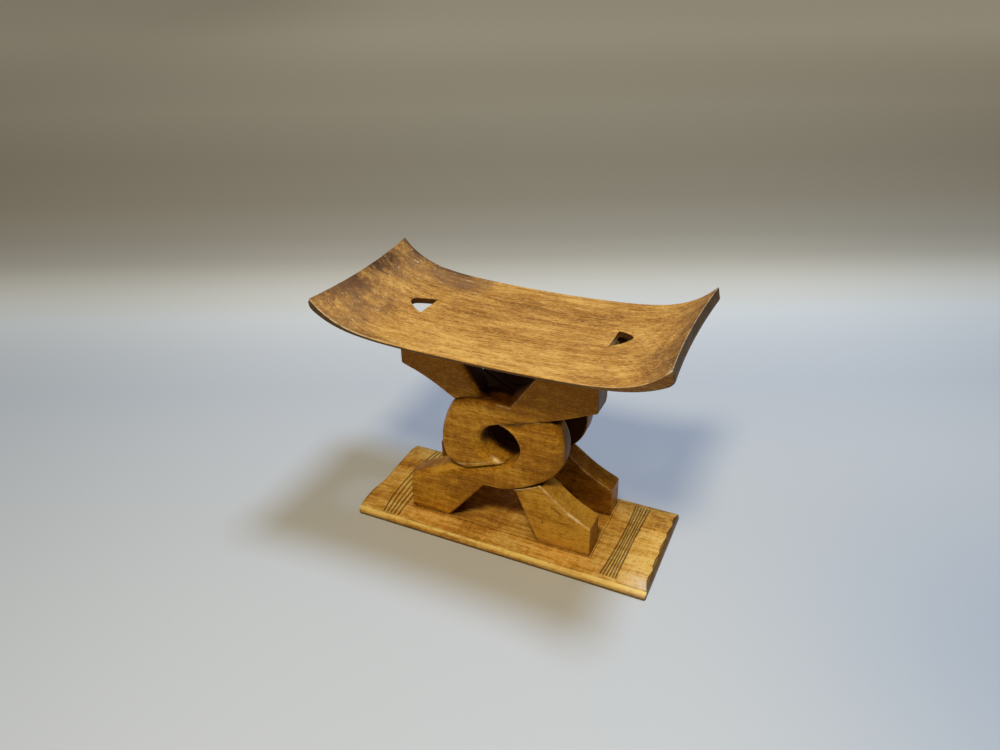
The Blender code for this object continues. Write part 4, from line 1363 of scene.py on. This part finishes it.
def shifted(grid, way):
    # The grid moved by one cell along a way, with empty cells let in at its border
    moved = np.roll(grid, way, (0, 1, 2))
    moved[[0, -1]] = 0
    moved[:, [0, -1]] = 0
    moved[:, :, [0, -1]] = 0
    return moved


def fittedShade(hidden, points, normals):
    # The share of hidden light that is kept by height and depth, with shade added on the back
    # panel's inner face and taken off where the photo shows light falling in
    form = shadeForm
    x, y, z = points.T
    right, forward, upward = normals[:, 0], -normals[:, 1], normals[:, 2]
    atBack = smoothStep(y, *form["back"])
    rear = form["rearMore"] * smoothStep(y, *form["rear"]) + form["backMore"] * atBack
    kept = form["kept"] + form["highMore"] * smoothStep(z, *form["high"])
    kept += rear * smoothStep(z, *form["rearHigh"])
    kept -= form["backLess"] * (y > 0) * fallingStep(z, *form["backLow"])
    inner = atBack * smoothStep(forward, *form["innerFacing"]) * smoothStep(z, *form["innerHigh"])
    inner *= fallingStep(np.abs(x - form["innerMiddle"]), *form["innerHalf"])
    eye = smoothStep(-y, *form["eyeFront"]) * smoothStep(upward, *form["eyeFacing"])
    eye *= inEye(x, z, form["eyeSize"]) * (z < knotMiddle)
    saddle = smoothStep(-y, *form["saddleFront"]) * smoothStep(upward, *form["saddleFacing"])
    saddle *= z > knotMiddle
    wall = smoothStep(right, *form["wallFacing"]) * smoothStep(z, *form["wallHigh"])
    wall *= bell(x - form["wallPlace"], form["wallReach"])
    return (hidden * kept + form["inner"] * inner - form["eye"] * eye - form["saddle"] * saddle
            - form["foot"] * aboveFoot(x, y, z) - form["hole"] * underHole(x, y, z) - form["wall"] * wall)


def addShade(pieces):
    # How much of what a point faces is other wood: each cell looks along 26 ways, and wood
    # counts for less the further off it is
    form, cell = shadeForm, shadeForm["cell"]
    clouds = [readPoints(piece.data) for piece in pieces]
    every = np.concatenate(clouds)
    low, shape = cellsAround(every, cell, form["margin"])
    full = np.zeros(shape, np.float32)
    full[tuple(((every - low) / cell).astype(int).T)] = 1
    ways = [way for way in np.ndindex(3, 3, 3) if way != (1, 1, 1)]
    looks = []
    for way in ways:
        back = tuple(1 - part for part in way)
        closed = np.zeros_like(full)
        for _ in range(form["reach"]):
            closed = shifted(np.maximum(full, closed * form["fade"]), back)
        looks.append(closed)
    units = np.array(ways, float) - 1
    units /= np.linalg.norm(units, axis=1)[:, None]
    for piece, points in zip(pieces, clouds):
        normals = readNormals(piece.data)
        at = tuple(((points + normals * form["lift"] * cell - low) / cell).astype(int).T)
        facing = np.clip(normals @ units.T, 0, None)
        hidden = sum(facing[:, k] * looks[k][at] for k in range(len(ways))) / facing.sum(1)
        hidden = fittedShade(hidden, points, normals)
        setMask(piece.data, "shade", evened(piece.data, hidden, form["evening"]))


# How use has marked the hooks, with their painted highlights, light and shade, in the same terms as
# the seat. Lines seen from the front have no depth of their own.
hookMarks = {
    "evening": 4, "standsOut": (0.00014, 0.00036),       # how far a place stands out of its surroundings
    # Edges that stand out and face the key lamp get a painted highlight
    "highlightFrom": (-0.30, -0.60, 0.74), "highlightFacing": (0.45, 0.80), "rubbedHighlightShare": 0.7,
    "edgeDepth": 0.0008,                                 # how far behind the front face the outlines are read
    # A painted glint on the eye's lower lip
    "eyeGlint": ((-0.0150, -0.0500, 0.1400), (-0.0105, -0.0510, 0.1375), (-0.0050, -0.0530, 0.1370)),
    # A painted highlight on the loop's edge over the foot, and one along the foot's upper ridge
    "front": (0.040, 0.046),
    "loopEdgeHighlight": ((-0.0680, 0, 0.1186), (-0.0376, 0, 0.1258), (-0.0180, 0, 0.1334)),
    "loopHighlightReach": 0.0010, "loopHighlightShare": 0.55,
    "footRidgeHighlight": ((-0.1143, 0, 0.0885), (-0.0900, 0, 0.1006), (-0.0725, 0, 0.1092), (-0.0313, 0, 0.1190)),
    "ridgeHighlightReach": 0.0030, "ridgeHighlightTint": 0.70,
    # Painted light under the right finger hole, painted shade on inward faces and on the right-facing ends
    "holeLightShare": 0.6, "inwardFacing": (0.3, 0.9), "sideFacing": (0.80, 0.95), "sideHigh": (0.12, 0.20),
    # Painted shadow of the seat on the arms
    "arms": (0.222, 0.262), "armsTint": -0.43,
    "leg": (0.02, 0.05), "legLow": (0.105, 0.125), "legTint": 0.23,
    # Painted shade on the leg's right-facing end
    "legEndFacing": (0.6, 0.9), "legEndShadeTint": -0.62,
    "loopLeft": (0.015, 0.045), "loopFrom": (0.115, 0.140), "loopUntil": (0.195, 0.215), "loopLeftTint": 0.10,
    "foot": (0.020, 0.045), "footLow": (0.090, 0.105), "footTint": -0.08,
    "loopRight": (0.02, 0.05), "loopRightFrom": (0.105, 0.125), "loopRightUntil": 0.22,
    "loopRightTint": -0.17,
}


def hookEdge(side, first, last):
    # The upper hook's outline between two places along it, a little behind the front face
    rows = hookRows(upperHook)[side]
    kept = rows[((rows > first) & (rows < last)).all(1)][::5]
    depth = np.full(len(kept), whole["frontFace"] + hookMarks["edgeDepth"])
    return np.column_stack([kept[:, 0], depth, knotMiddle + kept[:, 1]])


def highlightLines():
    # Worn arrises painted bright with their highlights: the front leg's ridge, which is broader where it
    # leaves the knot, the notch's lip and the arm's edge beside it, and a painted glint on the eye's lower
    # lip.
    # Each with its reach and strength.
    ridge = hookEdge(1, (0.062, -0.2), (0.141, 0.0))
    lip = hookEdge(0, (-0.004, 0.060), (0.0165, 0.0678))
    arm = hookEdge(0, (0.0165, 0.060), (0.050, 0.2))
    eye = np.array(hookMarks["eyeGlint"])
    return ((ridge, 0.0014, 1.0), (ridge[:4], 0.0026, 1.0), (lip, 0.0008, 0.6), (lip[-3:], 0.0013, 1.0),
            (arm, 0.0007, 0.5), (eye[:2], 0.0030, 0.45), (eye[1:], 0.0034, 1.0))


def frontTint(points, normals, atFront):
    # Tones of the front panel: leg, loop left and right and foot, with painted shade on the leg's
    # right-facing end and a painted highlight along the foot's ridge
    form = hookMarks
    x, y, z = points.T
    leg = smoothStep(x, *form["leg"]) * fallingStep(z, *form["legLow"])
    # Painted shade on the leg's right-facing end
    tint = leg * (form["legTint"] + form["legEndShadeTint"] * smoothStep(normals[:, 0], *form["legEndFacing"]))
    loopLeft = (smoothStep(-x, *form["loopLeft"]) * smoothStep(z, *form["loopFrom"])
                * fallingStep(z, *form["loopUntil"]))
    foot = smoothStep(-x, *form["foot"]) * fallingStep(z, *form["footLow"])
    loopRight = (smoothStep(x, *form["loopRight"]) * smoothStep(z, *form["loopRightFrom"])
                 * (z < form["loopRightUntil"]))
    # A painted highlight along the foot's upper ridge
    ridge = nearLine(points * (1, 0, 1), np.array(form["footRidgeHighlight"]), form["ridgeHighlightReach"]) * atFront
    return (tint + form["loopLeftTint"] * loopLeft + form["footTint"] * foot
            + form["loopRightTint"] * loopRight + form["ridgeHighlightTint"] * ridge)


def markHook(thing, panel):
    # Edges that stand out of the evened surface and face the key lamp are painted bright as
    # worn edges with their highlight, and so are the lines above; painted light falls under the right
    # finger hole. Painted shade darkens the inward faces and the right-facing ends, and the seat's
    # painted shadow darkens the arms on top.
    form, mesh = hookMarks, thing.data
    points, normals = readPoints(mesh), readNormals(mesh)
    even = np.stack([evened(mesh, points[:, axis], form["evening"]) for axis in range(3)], -1)
    rubbed = smoothStep(((points - even) * normals).sum(1), *form["standsOut"])
    facing = smoothStep(normals @ np.array(form["highlightFrom"]), *form["highlightFacing"])
    wornAndLit = form["rubbedHighlightShare"] * rubbed * facing
    # Painted shadow of the seat on the arms' upper parts
    tint = 0.5 + form["armsTint"] * smoothStep(points[:, 2], *form["arms"])
    if panel == "front":
        atFront = smoothStep(-points[:, 1], *form["front"])
        for line, reach, strength in highlightLines():
            wornAndLit = np.maximum(wornAndLit, nearLine(points, line, reach) * strength)
        # A painted highlight on the loop's edge over the foot
        edge = nearLine(points * (1, 0, 1), np.array(form["loopEdgeHighlight"]), form["loopHighlightReach"]) * atFront
        wornAndLit = np.maximum(wornAndLit, form["loopHighlightShare"] * edge)
        tint += frontTint(points, normals, atFront)
    # Painted light on the back arm's inner face under the right finger hole
    setMask(mesh, "wearAndSheen", np.maximum(wornAndLit, form["holeLightShare"] * underHole(*points.T)))
    inward = normals[:, 1] if panel == "front" else -normals[:, 1]
    # Painted shade on the faces turned inwards, between the panels
    setMask(mesh, "patinaAndShade", smoothStep(inward, *form["inwardFacing"]))
    # Painted shade on the right-facing ends
    rightEnd = smoothStep(normals[:, 0], *form["sideFacing"])
    setMask(mesh, "side", rightEnd * smoothStep(points[:, 2], *form["sideHigh"]))
    setMask(mesh, "tint", tint)


# Finishes

woodLooks = {
    "seat_wood": {
        "sway": 0.022, "pith": (0, 0.03, -0.62), "ringDensity": 130.0,
        "ringShare": 0.34, "streakShare": 0.40, "fibreShare": 0.52, "rippleShare": 0.06, "cloudShare": 0.42,
        "tones": ((0.36, (0.30, 0.116, 0.020)), (0.46, (0.49, 0.210, 0.037)),
                  (0.54, (0.64, 0.304, 0.060)), (0.63, (0.84, 0.455, 0.108))),
        "chipShare": 0.50, "chipTone": (0.90, 0.58, 0.22),
        "poreShare": 0.52, "dashShare": 0.55, "poreTone": (0.205, 0.076, 0.014),
        "patinaAndShadeShare": 0.68, "patinaAndShadeTone": (0.205, 0.108, 0.060), "stainTone": (0.062, 0.026, 0.012),
        "scuffShare": 0.55,
        "pitDensity": 120.0, "pitShare": 0.06,
        "dents": (((0.1755, 0.0140, 0.340), (0.0150, 0.0005, 0.02), (0, 0, -8), 0.55),
                  ((0.2098, -0.0651, 0.353), (0.0028, 0.0013, 0.02), (0, 0, 20), 0.9),
                  ((0.2066, -0.0301, 0.352), (0.0022, 0.0010, 0.02), (0, 0, 0), 0.9),
                  ((0.2064, 0.0290, 0.351), (0.0030, 0.0010, 0.02), (0, 0, -15), 0.8),
                  ((-0.0406, 0.0381, 0.330), (0.0016, 0.0010, 0.02), (0, 0, 0), 0.9),
                  ((0.1785, 0.0780, 0.341), (0.0034, 0.0009, 0.02), (0, 0, 10), 0.8),
                  ((-0.1882, -0.0992, 0.344), (0.0016, 0.0012, 0.02), (0, 0, 0), 0.9),
                  ((-0.2046, -0.0145, 0.350), (0.0018, 0.0012, 0.02), (0, 0, 0), 0.9)),
        "sideShadeShare": 0.88, "sideShadeTone": (0.050, 0.026, 0.012),
        "shadeFrom": 0.25, "shadeTo": 0.75, "shadeShare": 0.9, "shadeTone": (0.050, 0.014, 0.003),
        "dirtAndShadeShare": 0.8, "dirtAndShadeTone": (0.045, 0.016, 0.006),
        "wearAndSheenShare": 0.85, "wearAndSheenTone": (0.96, 0.75, 0.46),
        "roughness": 0.34, "specular": 0.20, "specularTint": (1.0, 0.82, 0.58),
        "bump": 0.60, "mottleBump": 0.5, "rippleBump": 0.3,
    },
    "base_wood": {
        "sway": 0.022, "pith": (0, 0.02, -0.50), "ringDensity": 110.0,
        "ringShare": 0.26, "streakShare": 0.44, "fibreShare": 0.54, "rippleShare": 0.30, "cloudShare": 0.48,
        "tones": ((0.36, (0.40, 0.156, 0.015)), (0.46, (0.63, 0.282, 0.032)),
                  (0.54, (0.81, 0.405, 0.060)), (0.63, (0.97, 0.590, 0.150))),
        "chipShare": 0.45, "chipTone": (1.0, 0.66, 0.24),
        "poreShare": 0.45, "dashShare": 0.40, "poreTone": (0.27, 0.10, 0.008),
        "patinaAndShadeShare": 0.85, "patinaAndShadeTone": (0.95, 0.780, 0.680), "stainTone": (0.150, 0.060, 0.020),
        "scuffShare": 0.50,
        "pitDensity": 120.0, "pitShare": 0.04, "dents": (),
        "sideShadeShare": 0.88, "sideShadeTone": (0.065, 0.026, 0.007),
        "shadeFrom": 0.30, "shadeTo": 0.80, "shadeShare": 0.72, "shadeTone": (0.120, 0.034, 0.003),
        "dirtAndShadeShare": 0.85, "dirtAndShadeTone": (0.060, 0.020, 0.004),
        "wearAndSheenShare": 0.92, "wearAndSheenTone": (1.0, 0.71, 0.20),
        "roughness": 0.28, "specular": 0.32, "specularTint": (1.0, 0.78, 0.48),
        "bump": 0.60, "mottleBump": 0.5, "rippleBump": 0.4,
    },
    "upper_hook_wood": {
        "sway": 0.020, "pith": (0, 0.01, -0.30), "ringDensity": 95.0,
        "ringShare": 0.24, "streakShare": 0.38, "fibreShare": 0.58, "rippleShare": 0.26, "cloudShare": 0.52,
        "tones": ((0.36, (0.290, 0.104, 0.004)), (0.46, (0.435, 0.175, 0.009)),
                  (0.54, (0.540, 0.240, 0.017)), (0.63, (0.690, 0.350, 0.038))),
        "chipShare": 0.42, "chipTone": (0.70, 0.38, 0.075),
        "poreShare": 0.50, "dashShare": 0.28, "poreTone": (0.18, 0.060, 0.004),
        "patinaAndShadeShare": 0.7, "patinaAndShadeTone": (0.120, 0.030, 0.002), "stainTone": (0.06, 0.02, 0.004),
        "scuffShare": 0.15,
        "pitDensity": 110.0, "pitShare": 0.03,
        "dents": (((0.0880, -0.0575, 0.0790), (0.0165, 0.004, 0.0034), (0, 31, 0), 0.62),
                  ((0.0665, -0.058, 0.0525), (0.0022, 0.004, 0.0036), (0, 10, 0), 0.8),
                  ((0.0950, -0.058, 0.0420), (0.0020, 0.004, 0.0010), (0, 0, 0), 0.8),
                  ((-0.062, -0.050, 0.2300), (0.0060, 0.010, 0.0030), (0, 20, 0), 0.5)),
        "sideShadeShare": 0.85, "sideShadeTone": (0.060, 0.030, 0.010),
        "shadeFrom": 0.28, "shadeTo": 0.62, "shadeShare": 0.975, "shadeTone": (0.022, 0.0035, 0.0003),
        "dirtAndShadeShare": 0.85, "dirtAndShadeTone": (0.035, 0.010, 0.002),
        "wearAndSheenShare": 0.95, "wearAndSheenTone": (1.0, 0.76, 0.40),
        "roughness": 0.26, "specular": 0.21, "specularTint": (1.0, 0.62, 0.24),
        "bump": 0.40, "mottleBump": 0.35, "rippleBump": 0.25,
    },
}
woodLooks["lower_hook_wood"] = {
    **woodLooks["upper_hook_wood"], "pith": (0, 0.02, -0.31),
    "dents": (((0.081, -0.056, 0.1880), (0.0012, 0.006, 0.0050), (0, 20, 0), 0.6),),
}


def floorFinish():
    # Pale floor whose colour, with painted light and shade, goes by how far behind the stool and how far
    # aside a place is
    material = bpy.data.materials.new("paleFloor")
    material.use_nodes = True
    tree = material.node_tree
    shader = tree.nodes["Principled BSDF"]
    place = addNode(tree, "ShaderNodeTexCoord").outputs["Object"]
    turn = math.radians(cameraView["yaw"])
    ahead, aside = (-math.sin(turn), math.cos(turn), 0), (math.cos(turn), math.sin(turn), 0)
    along, across = (vectorMath(tree, "DOT_PRODUCT", {0: place, 1: way}, "Value") for way in (ahead, aside))
    distance = calculate(tree, "DIVIDE", along, studio["toneReach"], clamp=True)
    colour = colourRamp(tree, distance, studio["floorTonesAndLight"])
    off = calculate(tree, "ABSOLUTE", calculate(tree, "SUBTRACT", across, studio["dimMiddle"]), None)
    for first, second, tone in (
            (between(tree, off, *studio["dimAside"]), between(tree, along, *studio["dimAlong"]),
             studio["dim"]),
            (between(tree, across, *studio["nearAcross"]), between(tree, along, *studio["nearAlong"]),
             studio["nearDim"])):
        dimmed = blendColour(tree, 1.0, colour, tone, "MULTIPLY")
        colour = blendColour(tree, calculate(tree, "MULTIPLY", first, second), colour, dimmed)
    tree.links.new(colour, shader.inputs["Base Color"])
    # A painted glow that only camera rays see, far off
    looking = addNode(tree, "ShaderNodeLightPath").outputs["Is Camera Ray"]
    strength = calculate(tree, "MULTIPLY", looking, between(tree, along, *studio["paleAlong"]))
    strength = calculate(tree, "MULTIPLY", strength, between(tree, across, *studio["paleAcross"]))
    tree.links.new(strength, shader.inputs["Emission Strength"])
    shader.inputs["Emission Color"].default_value = (*studio["pale"], 1)
    shader.inputs["Roughness"].default_value = studio["floorRoughness"]
    return material


def makeFloor():
    half = studio["floorSize"] / 2
    corners = [(-half, -half, 0), (half, -half, 0), (half, half, 0), (-half, half, 0)]
    mesh = bpy.data.meshes.new("floor")
    mesh.from_pydata(corners, [], [(0, 1, 2, 3)])
    mesh.materials.append(floorFinish())
    floor = putInScene("floor", mesh)


makeCamera(cameraView)
for lampName in ("key", "cool", "fill"):
    makeLamp(lampName + "Lamp", *(studio[lampName + part] for part in ("Place", "Size", "Power", "Colour")))
makeWorld(studio["worldLight"], studio["worldSeen"])
bpy.context.scene.view_settings.view_transform = "Standard"
makeFloor()
print("camera, light and floor ready")

hooks = makeKnots()
seat = makeSeat()
base = makeBase()
print("seat and base shaped")

pieces = [(seat, "seat", "seat_wood"), (base, "base", "base_wood")]
for (panel, level), hook in hooks.items():
    markHook(hook, panel)
    pieces.append((hook, panel + "_" + level + "_hook", level + "_hook_wood"))
for addDirtAndShade in (addSeamDirtAndShade, addShade):
    addDirtAndShade([piece for piece, node, finish in pieces])

finishes = {name: carvedWood(name.replace("_", " "), look) for name, look in woodLooks.items()}
for piece, node, finish in pieces:
    piece.data.materials.clear()
    piece.data.materials.append(finishes[finish])
    piece.data.shade_smooth()
    if piece in (seat, base):
        piece.data.set_sharp_from_angle(angle=math.radians(50))
    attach(piece, "root")
    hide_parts(node)
    print(piece.name, "finished:", len(piece.data.polygons), "faces")
